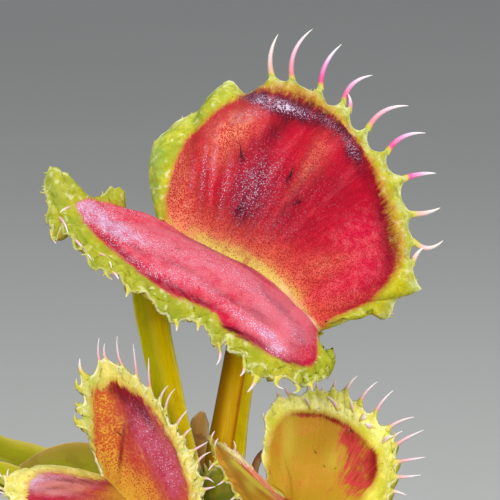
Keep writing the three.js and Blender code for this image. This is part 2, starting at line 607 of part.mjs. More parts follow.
// The rhizome and its roots, or with a clearance the pocket that they fill in the soil.
function rhizomeSolid(clearance) {
  const c = clearance;
  const bulb = turned(
    [
      [0, -16 - c], [2 + c, -15 - c], [3.6 + c, -12.5], [4.4 + c, -9], [4.8 + c, -5.5],
      [RHIZOME_RADIUS - 0.3 + c, -3.6], [RHIZOME_RADIUS + c, -2.9], [RHIZOME_RADIUS - 0.3 + c, RHIZOME_TOP],
      [0, RHIZOME_TOP],
    ],
    14,
  );
  return ROOTS.reduce((whole, path) => {
    const stations = path.map((p) => [...p, ROOT_RADIUS + c]);
    const root = strap({ path: stations, width: [0.8, 0.6, 0], rib: 2 * (ROOT_RADIUS + c) }, 5, 0.6 + c);
    return whole.add(solid(root));
  }, solid(bulb));
}

// The soil: it fills the pot, domes up to the crown, and has a plain hole for the rhizome.
function soilSolid(plantMatrix) {
  const low = POT_FLOOR + GAP;
  const edge = POT_TOP_RADIUS - POT_WALL - GAP - 0.5;
  const surface = (r) => CROWN_HEIGHT - SOIL_BELOW_CROWN - SOIL_DOME * (r / edge) ** 2;
  const rings = [1, 0.88, 0.74, 0.6, 0.46, 0.32, 0.18, 0].map((f) => [f * edge, surface(f * edge)]);
  const geometry = turned([[0, low], [potRadius(low) - POT_WALL - GAP, low], ...rings]);
  const spot = geometry.getAttribute("position");
  for (let i = 0; i < spot.count; i++) {
    const [x, y, z] = [spot.getX(i), spot.getY(i), spot.getZ(i)];
    const far = Math.hypot(x, y);
    const fade = z > low + 1 ? Math.min(1, Math.max(0, (edge - far) / 4)) : 0;
    const bump = Math.sin(0.55 * x + 1.3) * Math.cos(0.62 * y - 0.4) + 0.6 * Math.sin(1.1 * x - 0.9 * y);
    spot.setZ(i, z + 0.28 * bump * fade);
  }
  const pocket = rhizomeSolid(GAP).transform(plantMatrix.elements);
  const shaft = new THREE.CylinderGeometry(POCKET_RADIUS, POCKET_RADIUS, 14, 24);
  shaft.rotateX(Math.PI / 2).translate(0, 0, 3.4).applyMatrix4(plantMatrix);
  return solid(geometry).subtract(pocket).subtract(solid(shaft));
}

const group = new THREE.Group();
const plant = new THREE.Group();
plant.position.z = CROWN_HEIGHT;
plant.rotation.x = -LEAN;
plant.updateMatrix();
group.add(plant);

group.add(meshOf("pot", geometryOf(potSolid()), COLOURS.pot, 0.5));
group.add(meshOf("soil", geometryOf(soilSolid(plant.matrix)), COLOURS.soil, 0.95));
plant.add(meshOf("rhizome", geometryOf(rhizomeSolid(0)), COLOURS.rhizome, 0.6));

const petioleName = (leaf) => "petiole_" + leaf.replace(/[A-Z]/g, (c) => "_" + c.toLowerCase());
const trapName = (leaf) => petioleName(leaf).replace("petiole", "trap");
for (const [leaf, shape] of Object.entries(PETIOLES))
  plant.add(meshOf(petioleName(leaf), geometryOf(solid(strap(shape, 10))), COLOURS.petiole, 0.45));

const fitted = {
  large: [LARGE_TRAP, LARGE_UPPER_CILIA, LARGE_LOWER_CILIA, COLOURS.trap],
  left: [LEFT_TRAP, LEFT_UPPER_CILIA, LEFT_LOWER_CILIA, COLOURS.trap],
  right: [RIGHT_TRAP, RIGHT_UPPER_CILIA, RIGHT_LOWER_CILIA, COLOURS.paleTrap],
};
for (const [leaf, [shape, upper, lower, colour]] of Object.entries(fitted))
  plant.add(meshOf(trapName(leaf), geometryOf(fittedTrap(shape, upper, lower)), colour, 0.45));
for (const [leaf, shape] of Object.entries(PLAIN_TRAPS))
  plant.add(meshOf(trapName(leaf), geometryOf(plainTrap(shape)), COLOURS.paleTrap, 0.45));

plant.add(meshOf("young_leaf", geometryOf(solid(strap(YOUNG_LEAF, 9))), COLOURS.youngLeaf, 0.5));
plant.add(meshOf("dead_stalk", geometryOf(solid(strap(DEAD_STALK, 7, 0.5))), COLOURS.deadStalk, 0.8));

export default group;
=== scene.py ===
"""A potted Venus flytrap: red and ochre traps with spiny rims on golden stalks, in mossy peat in a black pot.

Shapes are worked out in the plant's own frame, in millimetres: x right, y back, z up from the crown, where
the leaves spring. world() leans that frame back and turns it to metres. Outlines that are seen from the
front are given in tenths of a millimetre, right and down from the corner of a 50 mm square view.
"""
import math
from functools import partial
from types import SimpleNamespace
import bpy
import numpy as np
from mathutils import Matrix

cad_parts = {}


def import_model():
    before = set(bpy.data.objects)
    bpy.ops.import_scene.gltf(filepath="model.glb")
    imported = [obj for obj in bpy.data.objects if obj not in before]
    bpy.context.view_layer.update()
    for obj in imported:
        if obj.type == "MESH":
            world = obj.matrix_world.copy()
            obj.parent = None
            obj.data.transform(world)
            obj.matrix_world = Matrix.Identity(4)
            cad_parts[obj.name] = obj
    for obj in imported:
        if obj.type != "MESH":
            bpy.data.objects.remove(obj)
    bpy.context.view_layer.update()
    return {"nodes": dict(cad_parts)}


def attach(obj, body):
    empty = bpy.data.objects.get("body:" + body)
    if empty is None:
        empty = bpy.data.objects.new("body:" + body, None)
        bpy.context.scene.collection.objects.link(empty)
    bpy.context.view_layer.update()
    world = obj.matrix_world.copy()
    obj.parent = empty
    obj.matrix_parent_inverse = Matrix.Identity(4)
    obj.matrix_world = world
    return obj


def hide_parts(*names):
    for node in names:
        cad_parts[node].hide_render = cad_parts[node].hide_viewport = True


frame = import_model()

CROWN_HEIGHT = 74.8
LEAN = math.radians(10)
VIEW_DISTANCE = 400.0  # from the eye to the plane y = 0
VIEW_RIGHT = 3.9
VIEW_UP = 30.2
VIEW_MIDDLE = 250  # in tenths of a millimetre, as the outlines are


def world(p):
    """Plant frame in millimetres to metres: turned back by LEAN about x, then lifted by CROWN_HEIGHT."""
    p = np.asarray(p, float)
    c, s = math.cos(LEAN), math.sin(LEAN)
    back = p[..., 1] * c + p[..., 2] * s
    up = p[..., 2] * c - p[..., 1] * s + CROWN_HEIGHT
    return np.stack([p[..., 0], back, up], -1) * 0.001


def front(p):
    """Front view of plant points: offsets from the view's middle shrink with the distance from the eye."""
    k = 1 + p[..., 1] / VIEW_DISTANCE
    right = VIEW_MIDDLE + 10 * (p[..., 0] - VIEW_RIGHT) / k
    down = VIEW_MIDDLE - 10 * (p[..., 2] - VIEW_UP) / k
    return np.stack([right, down], -1)


# ---------------------------------------------------------------- camera and lights

PANELS = [  # name, place, size, power, tint
    ("key", (-0.2, -0.46, 0.42), 0.28, 2.15, (1.0, 0.99, 0.97)),
    ("fill", (0.32, -0.4, 0.26), 0.28, 1.2, (0.98, 0.99, 1.0)),
    ("top", (0.02, 0.16, 0.55), 0.3, 1.3, (1.0, 1.0, 1.0)),
    ("glint", (-0.05, -0.5, 0.3), 0.05, 0.3, (1.0, 1.0, 1.0)),
]
PANEL_AIM = (0.0, 0.0, 0.1)


def camera_and_lights():
    """The eye stands VIEW_DISTANCE before the crown's plane; soft panels stand left, right and above, with a
    small bright one before the plant, in a dim even studio."""
    scene = bpy.context.scene
    lens = bpy.data.cameras.new("view")
    lens.lens, lens.sensor_width = 288, 36
    lens.clip_start, lens.clip_end = 0.01, 20
    eye = bpy.data.objects.new("view", lens)
    eye.location = world([VIEW_RIGHT, -VIEW_DISTANCE, VIEW_UP])
    eye.rotation_euler = (math.pi / 2 - LEAN, 0, 0)
    scene.collection.objects.link(eye)
    scene.camera = eye
    scene.view_settings.view_transform = "Standard"

    sky = bpy.data.worlds.new("studio")
    sky.use_nodes = True
    sky.node_tree.nodes["Background"].inputs[0].default_value = (0.93, 0.96, 1.0, 1)
    sky.node_tree.nodes["Background"].inputs[1].default_value = 0.3
    scene.world = sky

    for name, spot, size, power, tint in PANELS:
        panel = bpy.data.lights.new(name, "AREA")
        panel.size, panel.energy, panel.color = size, power, tint
        holder = bpy.data.objects.new(name, panel)
        holder.location = spot
        aim = np.array(PANEL_AIM) - np.array(spot)
        flat = math.hypot(aim[0], aim[1])
        holder.rotation_euler = (math.atan2(flat, -aim[2]), 0, math.atan2(-aim[0], aim[1]))
        scene.collection.objects.link(holder)


# ---------------------------------------------------------------- curves, noise and masks

WAVES = 10


def curve(points, t):
    """Centripetal Catmull-Rom through the points, an equal share of t from 0 to 1 for each span."""
    p = np.asarray(points, float)
    p = np.vstack([2 * p[0] - p[1], p, 2 * p[-1] - p[-2]])
    spans = len(p) - 3
    s = np.clip(np.asarray(t, float) * spans, 0, spans)
    k = np.minimum(s.astype(int), spans - 1)
    w = (s - k)[:, None]
    a, b, c, d = (p[k + i] for i in range(4))
    step = lambda q, r: np.maximum(np.linalg.norm(r - q, axis=1, keepdims=True) ** 0.5, 1e-3)
    d0, d1, d2 = step(a, b), step(b, c), step(c, d)
    m1 = ((b - a) / d0 - (c - a) / (d0 + d1) + (c - b) / d1) * d1
    m2 = ((c - b) / d1 - (d - b) / (d1 + d2) + (d - c) / d2) * d1
    return b + m1 * w + (3 * (c - b) - 2 * m1 - m2) * w**2 + (2 * (b - c) + m1 + m2) * w**3


def lengths(points):
    """How far along a row of points each one lies."""
    return np.concatenate([[0], np.cumsum(np.linalg.norm(np.diff(points, axis=0), axis=1))])


def spaced(points, shares):
    """Points of that curve at shares of its length."""
    t = np.linspace(0, 1, 2400)
    run = lengths(curve(points, t))
    return curve(points, np.interp(np.asarray(shares) * run[-1], run, t))


def unit(v):
    return v / np.maximum(np.linalg.norm(v, axis=-1, keepdims=True), 1e-9)


def rise(x, low, high):
    """0 below low, 1 above high, and 3t² − 2t³ between."""
    t = np.clip((x - low) / (high - low), 0, 1)
    return t * t * (3 - 2 * t)


def full_turn(count):
    """That many angles, evenly round a full turn."""
    return np.arange(count) * 2 * math.pi / count


def ripple(p, size, seed):
    """Smooth noise from about −1 to 1: the mean of WAVES sine waves, of about that size, in seeded
    directions."""
    p = np.asarray(p, float)
    rng = np.random.default_rng(seed)
    ways = unit(rng.normal(size=(WAVES, p.shape[-1]))) * 2 * math.pi / size
    ways = ways * rng.uniform(0.65, 1.5, (WAVES, 1))
    return np.sin(p @ ways.T + rng.uniform(0, 2 * math.pi, WAVES)).mean(-1) * 2


def inside_by(spots, outline):
    """How deep spots lie inside a closed outline, negative outside: nearest side, signed by crossings."""
    loop = np.asarray(outline, float)
    flat = spots.reshape(-1, 2)
    near = np.full(len(flat), 1e9)
    crossed = np.zeros(len(flat), int)
    for p, q in zip(loop, np.roll(loop, -1, 0)):
        side = q - p
        t = np.clip(((flat - p) @ side) / max(side @ side, 1e-9), 0, 1)
        near = np.minimum(near, np.linalg.norm(flat - p - t[:, None] * side, axis=1))
        level = (p[1] > flat[:, 1]) != (q[1] > flat[:, 1])
        drop = side[1] if abs(side[1]) > 1e-9 else 1e-9
        crossed += level & (flat[:, 0] < side[0] * (flat[:, 1] - p[1]) / drop + p[0])
    return np.where(crossed % 2, near, -near).reshape(spots.shape[:-1])


def washes(spots, listed):
    """Soft ovals [x, y, half length, half width, turn, amount], each amount · e^−(a² + b²), summed."""
    total = np.zeros(spots.shape[:-1])
    for x, y, long, wide, turn, amount in listed:
        c, s = math.cos(math.radians(turn)), math.sin(math.radians(turn))
        dx, dy = spots[..., 0] - x, spots[..., 1] - y
        total += amount * np.exp(-(((dx * c + dy * s) / long) ** 2) - ((dy * c - dx * s) / wide) ** 2)
    return total


# ---------------------------------------------------------------- meshes

def grid_faces(rows, columns, closed=False):
    """Quads of a grid of points stored row by row; closed joins the last column to the first."""
    i, j = np.meshgrid(np.arange(rows - 1), np.arange(columns - (not closed)), indexing="ij")
    k = (j + 1) % columns
    a, b = i * columns + j, i * columns + k
    return np.stack([a, a + columns, b + columns, b], -1).reshape(-1, 4)


def end_fans(rows, columns, low, high):
    """Triangles that close a grid of rings: from the first ring to the point low, from the last to high."""
    k = np.arange(columns)
    ahead = (k + 1) % columns
    last = (rows - 1) * columns
    return [np.stack([np.full(columns, low), ahead, k], -1),
            np.stack([np.full(columns, high), last + k, last + ahead], -1)]


def repeated(faces, count, size):
    """The same faces for each of count shapes whose points follow one another, size points each."""
    start = (np.arange(count) * size)[:, None, None]
    return [(start + block).reshape(-1, block.shape[1]) for block in faces]


def piece(name, points, faces, material, nodes=(), lean=True, marks=None):
    """A finished piece of the object from points, face lists and per-point marks (numbers, triples, colours),
    in the plant's frame or, without lean, in the pot's."""
    mesh = bpy.data.meshes.new(name)
    placed = world(points) if lean else np.asarray(points, float) * 0.001
    mesh.from_pydata(placed.tolist(), [], [f for block in faces for f in np.asarray(block).tolist()])
    for key, values in (marks or {}).items():
        values = np.asarray(values, np.float32)
        kind = {1: "FLOAT", 3: "FLOAT_VECTOR", 4: "FLOAT_COLOR"}[1 if values.ndim == 1 else values.shape[-1]]
        field = {"FLOAT": "value", "FLOAT_VECTOR": "vector", "FLOAT_COLOR": "color"}[kind]
        mesh.attributes.new(key, kind, "POINT").data.foreach_set(field, values.ravel())
    mesh.polygons.foreach_set("use_smooth", np.full(len(mesh.polygons), True))
    mesh.validate()
    mesh.update()
    made = bpy.data.objects.new(name, mesh)
    made.data.materials.append(material)
    bpy.context.scene.collection.objects.link(made)
    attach(made, "root")
    if nodes:
        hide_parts(*nodes)
    return made


def blade(sheet, inner, outer):
    """A closed leaf over a grid: each point moved inner along the normal, and outer against it, and a wall
    round the border. The normal is the cross product of the steps down and across the grid."""
    rows, columns = sheet.shape[:2]
    normal = unit(np.cross(np.gradient(sheet, axis=0), np.gradient(sheet, axis=1)))
    top = (sheet + normal * inner[..., None]).reshape(-1, 3)
    under = (sheet - normal * outer[..., None]).reshape(-1, 3)
    n = rows * columns
    ahead = grid_faces(rows, columns)
    i, j = np.arange(rows - 1), np.arange(columns - 1)
    a = np.concatenate([i * columns, (i + 2) * columns - 1, (rows - 1) * columns + j, j + 1])
    b = np.concatenate([(i + 1) * columns, (i + 1) * columns - 1, (rows - 1) * columns + j + 1, j])
    walls = np.stack([a, a + n, b + n, b], -1)
    return np.vstack([top, under]), [ahead, ahead[:, ::-1] + n, walls]


def tubes(paths, radii, across, squash, sides):
    """Round tapering hairs. Each ring is as wide as its radius times squash along across, and as thick as its
    radius square to that and to the path. paths and across are hair by ring by vector, radii hair by ring."""
    hairs, rings = paths.shape[:2]
    ahead = unit(np.gradient(paths, axis=1))
    thin = unit(np.cross(across, ahead))
    turn = full_turn(sides)
    r = radii[..., None, None]
    points = (
        paths[:, :, None]
        + across[:, :, None] * (r * squash[..., None, None]) * np.cos(turn)[:, None]
        + thin[:, :, None] * r * np.sin(turn)[:, None]
    )
    ring = np.arange(sides)[None]
    one = [grid_faces(rings, sides, closed=True), ring, (rings - 1) * sides + ring[:, ::-1]]
    return points.reshape(-1, 3), repeated(one, hairs, rings * sides)


# ---------------------------------------------------------------- material helpers

def node(tree, kind, inputs=None, **settings):
    """A new node, with its inputs linked to sockets or set to values."""
    made = tree.nodes.new("ShaderNode" + kind)
    for key, value in settings.items():
        setattr(made, key, value)
    for key, value in (inputs or {}).items():
        if isinstance(value, bpy.types.NodeSocket):
            tree.links.new(value, made.inputs[key])
        else:
            made.inputs[key].default_value = value
    return made


def beside(values, kind, inputs, **settings):
    """A new node in the tree of the first socket among the values."""
    tree = next(value for value in values if isinstance(value, bpy.types.NodeSocket)).id_data
    return node(tree, kind, inputs, **settings)


def sums(operation, *values, clamp=False):
    settings = {"operation": operation, "use_clamp": clamp}
    return beside(values, "Math", dict(enumerate(values)), **settings).outputs[0]


plus = partial(sums, "ADD")
minus = partial(sums, "SUBTRACT")
times = partial(sums, "MULTIPLY")
times_plus = partial(sums, "MULTIPLY_ADD")


def between(value, low, high, to_low=0.0, to_high=1.0):
    """A smooth step of value from low to high."""
    limits = {"Value": value, 1: low, 2: high, 3: to_low, 4: to_high}
    return beside([value], "MapRange", limits, interpolation_type="SMOOTHSTEP").outputs[0]


def blend(factor, a, b):
    return beside([factor, a, b], "Mix", {0: factor, 6: a, 7: b}, data_type="RGBA").outputs[2]


def noise(vector, scale, detail=2.0, rough=0.5, distortion=0.0):
    values = dict(zip(("Vector", "Scale", "Detail", "Roughness", "Distortion"),
                      (vector, scale, detail, rough, distortion)))
    return beside([vector], "TexNoise", values).outputs[0]


def stretched(vector, scale):
    return beside([vector], "Mapping", {"Vector": vector, "Scale": scale}).outputs[0]


def parts_of(value, kind="XYZ"):
    """The three numbers of a vector or, with kind Color, of a colour."""
    return beside([value], "Separate" + kind, {0: value}).outputs


def rgb(red, green, blue):
    """A colour from 0 to 255 screen values, turned linear."""
    flat = [v / 255 for v in (red, green, blue)]
    return tuple(v / 12.92 if v < 0.04045 else ((v + 0.055) / 1.055) ** 2.4 for v in flat) + (1.0,)


def ramp(value, stops):
    """A colour ramp through stops of [place, red, green, blue]."""
    made = beside([value], "ValToRGB", {0: value})
    band = made.color_ramp.elements
    first, *middle, last = ((place, rgb(*colour)) for place, *colour in stops)
    band[0].position, band[0].color = first
    band[1].position, band[1].color = last
    for place, colour in middle:
        band.new(place).color = colour
    return made.outputs[0]


def mark(tree, name, kind="Vector"):
    """A mark that piece() left on the mesh's points."""
    return node(tree, "Attribute", attribute_name=name).outputs[kind]


def finish_of(name, roughness, specular):
    """A new material with a Principled shader, its tree and its Object coordinates."""
    made = bpy.data.materials.new(name)
    made.use_nodes = True
    shader = made.node_tree.nodes["Principled BSDF"]
    shader.inputs["Roughness"].default_value = roughness
    shader.inputs["Specular IOR Level"].default_value = specular
    return made, made.node_tree, node(made.node_tree, "TexCoord").outputs["Object"]


def finished(made, colour, roughness=None, relief=None):
    """The material with its colour and, where given, its roughness and its relief (height, strength and
    distance) led to its shader."""
    tree = made.node_tree
    shader = tree.nodes["Principled BSDF"]
    tree.links.new(colour, shader.inputs["Base Color"])
    if roughness:
        tree.links.new(roughness, shader.inputs["Roughness"])
    if relief:
        bump = node(tree, "Bump", dict(zip(("Height", "Strength", "Distance"), relief)))
        tree.links.new(bump.outputs[0], shader.inputs["Normal"])
    return made


def group(name, inputs, outputs):
    """An empty node group with the given sockets, the sockets that it is given and its output node."""
    made = bpy.data.node_groups.new(name, "ShaderNodeTree")
    for label, kind in inputs.items():
        made.interface.new_socket(label, in_out="INPUT", socket_type="NodeSocket" + kind)
    for label in outputs:
        made.interface.new_socket(label, in_out="OUTPUT", socket_type="NodeSocketFloat")
    return made, made.nodes.new("NodeGroupInput").outputs, made.nodes.new("NodeGroupOutput")


def gland_group():
    """Glands: cells about 1 / Cells per metre apart. Dot is 1 in a cell's middle out to a size that grows
    with Cover. The glint output is a painted highlight, up to 1 on the small middles: each cell draws its own
    brightness, and the sheen input sets how many cells glint. Height domes each cell."""
    inputs = {"Vector": "Vector", "Cells per metre": "Float", "Cover": "Float", "Sheen": "Float"}
    made, (vector, per_metre, cover, wet, _), out = group("glands", inputs, ["Dot", "Glint", "Height"])
    cells = node(made, "TexVoronoi", {"Vector": vector, "Scale": per_metre})
    far = cells.outputs["Distance"]
    red, green, _ = parts_of(cells.outputs["Color"], "Color")
    dot = between(minus(times_plus(cover, 0.95, -0.05), far), -0.1, 0.16)
    # Painted highlights: a white glint on the middles of the chosen cells.
    chosen = minus(times(wet, 1.5), times(red, 0.6), clamp=True)
    size = between(far, 0.52, 0.18)
    glint_spot = times(chosen, times(size, times_plus(green, 0.7, 0.3)))
    for socket, value in zip(out.inputs, (dot, glint_spot, between(far, 0.7, 0.05))):
        made.links.new(value, socket)
    return made


def streak_group():
    """Streaks: noise in the leaf's own run and reach, drawn out along the reach, from 0 to 1."""
    inputs = {"Flow": "Vector", "Across": "Float", "Along": "Float", "Sharp": "Float"}
    made, (flow, across, along, sharp, _), out = group("streaks", inputs, ["Value"])
    size = node(made, "CombineXYZ", {0: across, 1: along, 2: 1.0}).outputs[0]
    drawn = node(made, "VectorMath", {0: flow, 1: size}, operation="MULTIPLY").outputs[0]
    raw = noise(drawn, 1.0, 4.0, 0.65, 0.7)
    made.links.new(between(raw, minus(0.5, sharp), plus(0.5, sharp)), out.inputs[0])
    return made


GLANDS = gland_group()
STREAKS = streak_group()


def glands(vector, per_metre, cover, wet):
    values = {0: vector, 1: per_metre, 2: cover, 3: wet}
    return beside([vector], "Group", values, node_tree=GLANDS).outputs


def streaks(flow, across, along, sharp):
    values = {0: flow, 1: across, 2: along, 3: sharp}
    return beside([flow], "Group", values, node_tree=STREAKS).outputs[0]


# ---------------------------------------------------------------- finish of the traps

CLOUDS = 330, 3, 0.6  # scale, detail and roughness of the noises that several finishes share
MOTTLES = 1100, 3, 0.6
# The pale line along the rim's edge is a painted highlight.
EDGE_GLINT_WIDTH = 0.3  # of the pale line along the rim, in millimetres


def trap_values(tree, spot, look):
    """What the faces of a trap share: the marks on its points, noises and streaks, painted shade on the
    rim's folds, yellow where they rise and greener in their creases and mottled by noise
    (patches), how bright the rim is (halo), a painted highlight along its edge (line),
    and how deep a point lies inside the flush's drawn-out border (ragged)."""
    m = SimpleNamespace(spot=spot, flow=mark(tree, "flow"))
    zones, edges = (node(tree, "Attribute", attribute_name=name).outputs for name in ("zones", "edges"))
    m.flush, m.warm, m.dark = parts_of(zones["Color"], "Color")
    m.rim, m.groove, m.inner = parts_of(edges["Color"], "Color")
    # The zones' fourth value is painted sheen and glints, and also a glossier surface.
    m.wet, m.pink = zones["Alpha"], edges["Alpha"]
    m.pale, fold = mark(tree, "pale", "Fac"), mark(tree, "fold", "Fac")
    m.side = parts_of(m.flow)[2]
    m.coarse, m.middle = noise(spot, *CLOUDS), noise(spot, *MOTTLES)
    m.vein = streaks(m.flow, look.veins, 0.13, 0.16)
    m.thread = streaks(m.flow, look.veins * 3.0, 0.36, 0.2)
    soft = times_plus(m.middle, 0.9, times_plus(m.coarse, 0.8, -0.85))
    # Painted shade: yellow where the rim's folds rise, greener in their creases, mottled by noise.
    m.patches = between(times_plus(fold, 0.7, soft), -0.45, 0.4)
    m.halo = between(m.side, -1.0, 1.0, look.halo, 1.0)
    # Painted highlight: a pale line along the margin.
    m.line = between(m.rim, EDGE_GLINT_WIDTH, 0.02)
    hair = streaks(m.flow, look.veins * 7.0, 0.3, 0.22)
    ragged = times_plus(m.thread, 0.22 * look.fray, times_plus(m.middle, 0.5, -0.46))
    ragged = times_plus(hair, times_plus(m.dark, 0.18, 0.26 * look.fray), ragged)
    m.ragged = plus(ragged, m.flush)
    return m


def flushed_ground(m, look):
    """The ground from the groove outwards, shifted by the streaks, and how far out each point counts as."""
    far = plus(m.groove, times_plus(m.thread, 0.25, times_plus(m.middle, 1.3, -0.8)))
    ground = ramp(times(far, 1 / look.spread), look.ground)
    drawn = between(far, 1.0, 4.0)
    ground = blend(times(between(m.vein, 0.5, 1.0, 0.0, look.deep), drawn), ground, look.streak_deep)
    ground = blend(times(between(m.vein, 0.42, 0.0, 0.0, look.light), drawn), ground, look.streak_pale)
    ground = blend(between(m.coarse, 0.5, 0.68, 0.0, 0.5), ground, look.crimson)
    warmed = times(m.warm, between(m.middle, 0.3, 0.65, 0.45, 1.15), clamp=True)
    ground = blend(warmed, ground, look.warm)
    pinked = blend(between(m.middle, 0.35, 0.65), look.pink, look.pale_pink)
    blotch = times_plus(m.middle, 0.7, times_plus(m.coarse, 1.2, m.pink))
    rosy = times(between(blotch, 1.5, 2.4), between(m.side, 1.0, -1.0))
    rosy = blend(rosy, pinked, look.rosy)
    torn = times_plus(times_plus(m.thread, 0.35, m.middle), 1.5 * look.torn, minus(m.pink, look.torn))
    return blend(between(torn, 0.1, 0.8, 0.0, 0.9), ground, rosy), far


def flushed_face(m, look):
    """The flush with its glands, which thicken away from the groove and stand out less once they merge, its
    darker spots, in part painted shade, its painted sheen of haze, glints on the glands and glinting
    strokes, and the pale seam. Also gives the height of the glands."""
    ground, far = flushed_ground(m, look)
    cover = between(far, look.bare, look.covered)
    strength = times_plus(cover, -0.38, times_plus(m.warm, 0.35, 0.95))
    strength = times(strength, minus(1.0, between(m.pink, 0.4, 1.4, 0.0, 0.6)))
    cells = glands(m.spot, look.glands, times_plus(cover, look.cover, look.least), times(m.wet, 0.9))
    dots = blend(times(m.warm, 0.8, clamp=True), look.dots, look.warm_dots)
    inside = blend(times(cells["Dot"], strength, clamp=True), ground, dots)
    deepest = blend(times(m.wet, 1.2, clamp=True), look.maroon, look.violet)
    inside = blend(times(m.dark, times_plus(m.thread, 0.7, 0.45), clamp=True), inside, deepest)
    # Painted sheen: a lavender haze where the sheen mask is high, stronger on the lower lobe.
    sheen_haze_amount = times(between(m.wet, 0.9, 2.2), between(m.side, 1.0, -1.0, 0.0, look.mist))
    sheen_haze_amount = times_plus(m.wet, look.hazy, sheen_haze_amount)
    sheen_haze_amount = times(sheen_haze_amount, between(m.middle, 0.25, 0.7, 0.3, 1.0), clamp=True)
    inside = blend(sheen_haze_amount, inside, look.haze)
    # Painted highlights: glints on the glands.
    inside = blend(times(cells["Glint"], 0.88), inside, look.spark)
    # Painted highlights: glinting strokes where the sheen is strongest.
    glint_strokes = times(between(streaks(m.flow, 5.0, 1.2, 0.1), 0.52, 0.78), between(m.middle, 0.36, 0.6))
    glint_strokes = times(glint_strokes, between(m.wet, 1.0, 1.5, 0.0, 0.7))
    glint_strokes = times(glint_strokes, between(m.side, -1.0, 1.0, 0.4, 1.0))
    inside = blend(glint_strokes, inside, look.spark)
    return blend(times(m.pale, 1.0, clamp=True), inside, look.seam), cells["Height"]


def rim_face(m, look):
    """The rim: painted shade on its folds, yellow where they rise and green in their creases, with soft and
    milky flecks, knobs with painted shadow between them, a painted highlight along its edge and soot, and
    burnt beside the flush."""
    # Painted shade on the folds: green in their creases, yellow where they rise.
    lime = blend(m.patches, look.rim_green, look.rim)
    lime = blend(times(m.pale, -1.0, clamp=True), lime, look.rim_warm)
    near_red = between(m.flush, -1.4, 0.1)
    lime = blend(times(near_red, times(m.halo, 0.5)), lime, look.rim_yellow)
    outer = times(between(m.rim, 2.2, 0.1), between(m.middle, 0.3, 0.7, 0.0, look.outer))
    lime = blend(times(outer, m.halo), lime, look.rim_soft)
    bright = times(m.pale, between(m.middle, 0.25, 0.6, 0.4, 0.9), clamp=True)
    lime = blend(bright, lime, look.rim_soft)
    lime = blend(between(noise(m.spot, 2400, 4, 0.7), 0.44, 0.64, 0.0, 0.45), lime, look.rim_green)
    lime = blend(between(m.side, 1.0, -1.0, 0.0, look.dim), lime, look.rim_dim)
    flecks = between(noise(m.spot, 4200, 2, 0.6), 0.56, 0.7)
    milky = times(flecks, between(m.patches, 0.4, 0.9, 0.0, look.milky))
    lime = blend(times(milky, m.halo), lime, look.rim_pale)
    # Where the knob noise is low it paints shadow between the rim's lumps; where high, pale knobs.
    knobs = noise(m.spot, 1300, 2.0, 0.5, 0.4)
    lime = blend(between(knobs, 0.5, 0.3, 0.0, look.olive), lime, look.rim_dim)
    lime = blend(between(knobs, 0.56, 0.72, 0.0, 0.5), lime, look.rim_pale)
    # Painted highlight along the margin.
    lime = blend(times(m.line, between(m.side, -1.0, 1.0, 0.3, 0.85)), lime, look.rim_pale)
    soot = between(noise(m.spot, 2900, 1.0, 0.5), 0.68, 0.74)
    lime = blend(times(soot, look.soot), lime, look.sooty)
    burnt = times(between(m.ragged, -0.6, -0.15), times(m.halo, 0.45))
    return blend(burnt, lime, look.burnt)


def trap_finish(name, look):
    """Leaf of a trap. The inner face runs from a golden groove through orange to crimson, drawn out in
    streaks, with red glands that thicken and merge and with washes from the marks. Past the flush lies a
    lime rim, greener in the creases of its folds as painted shade. The outer face is yellow green, likewise
    greener in its creases as painted shade, and flushed by its veins. Both have a painted highlight along
    the margin."""
    tones = {key: rgb(*value) for key, value in look.items() if isinstance(value, tuple)}
    look = SimpleNamespace(**{**look, **tones})
    made, tree, spot = finish_of(name, 0.45, 0.07)
    m = trap_values(tree, spot, look)
    inside, domes = flushed_face(m, look)
    inked = between(m.ragged, -0.22, 0.22)
    face = blend(inked, rim_face(m, look), inside)
    # Painted shade: the back greener in the creases of its folds.
    back = blend(m.patches, look.back_green, look.back)
    back = blend(times(m.thread, 0.4), back, look.back_flush)
    # Painted highlight along the margin of the back.
    back = blend(times(m.line, 0.6), back, look.rim_pale)
    grain = times_plus(m.middle, 0.6, times(domes, times(inked, 0.5)))
    grain = times_plus(m.vein, 0.35, grain)
    lumps = times(minus(1.0, inked), noise(spot, 900, 2.0, 0.5, 0.6))
    rough = times_plus(m.middle, 0.12, times_plus(m.wet, -0.16, 0.5))
    relief = times_plus(lumps, 4.0, grain), 0.4, 0.00012
    return finished(made, blend(m.inner, back, face), rough, relief)


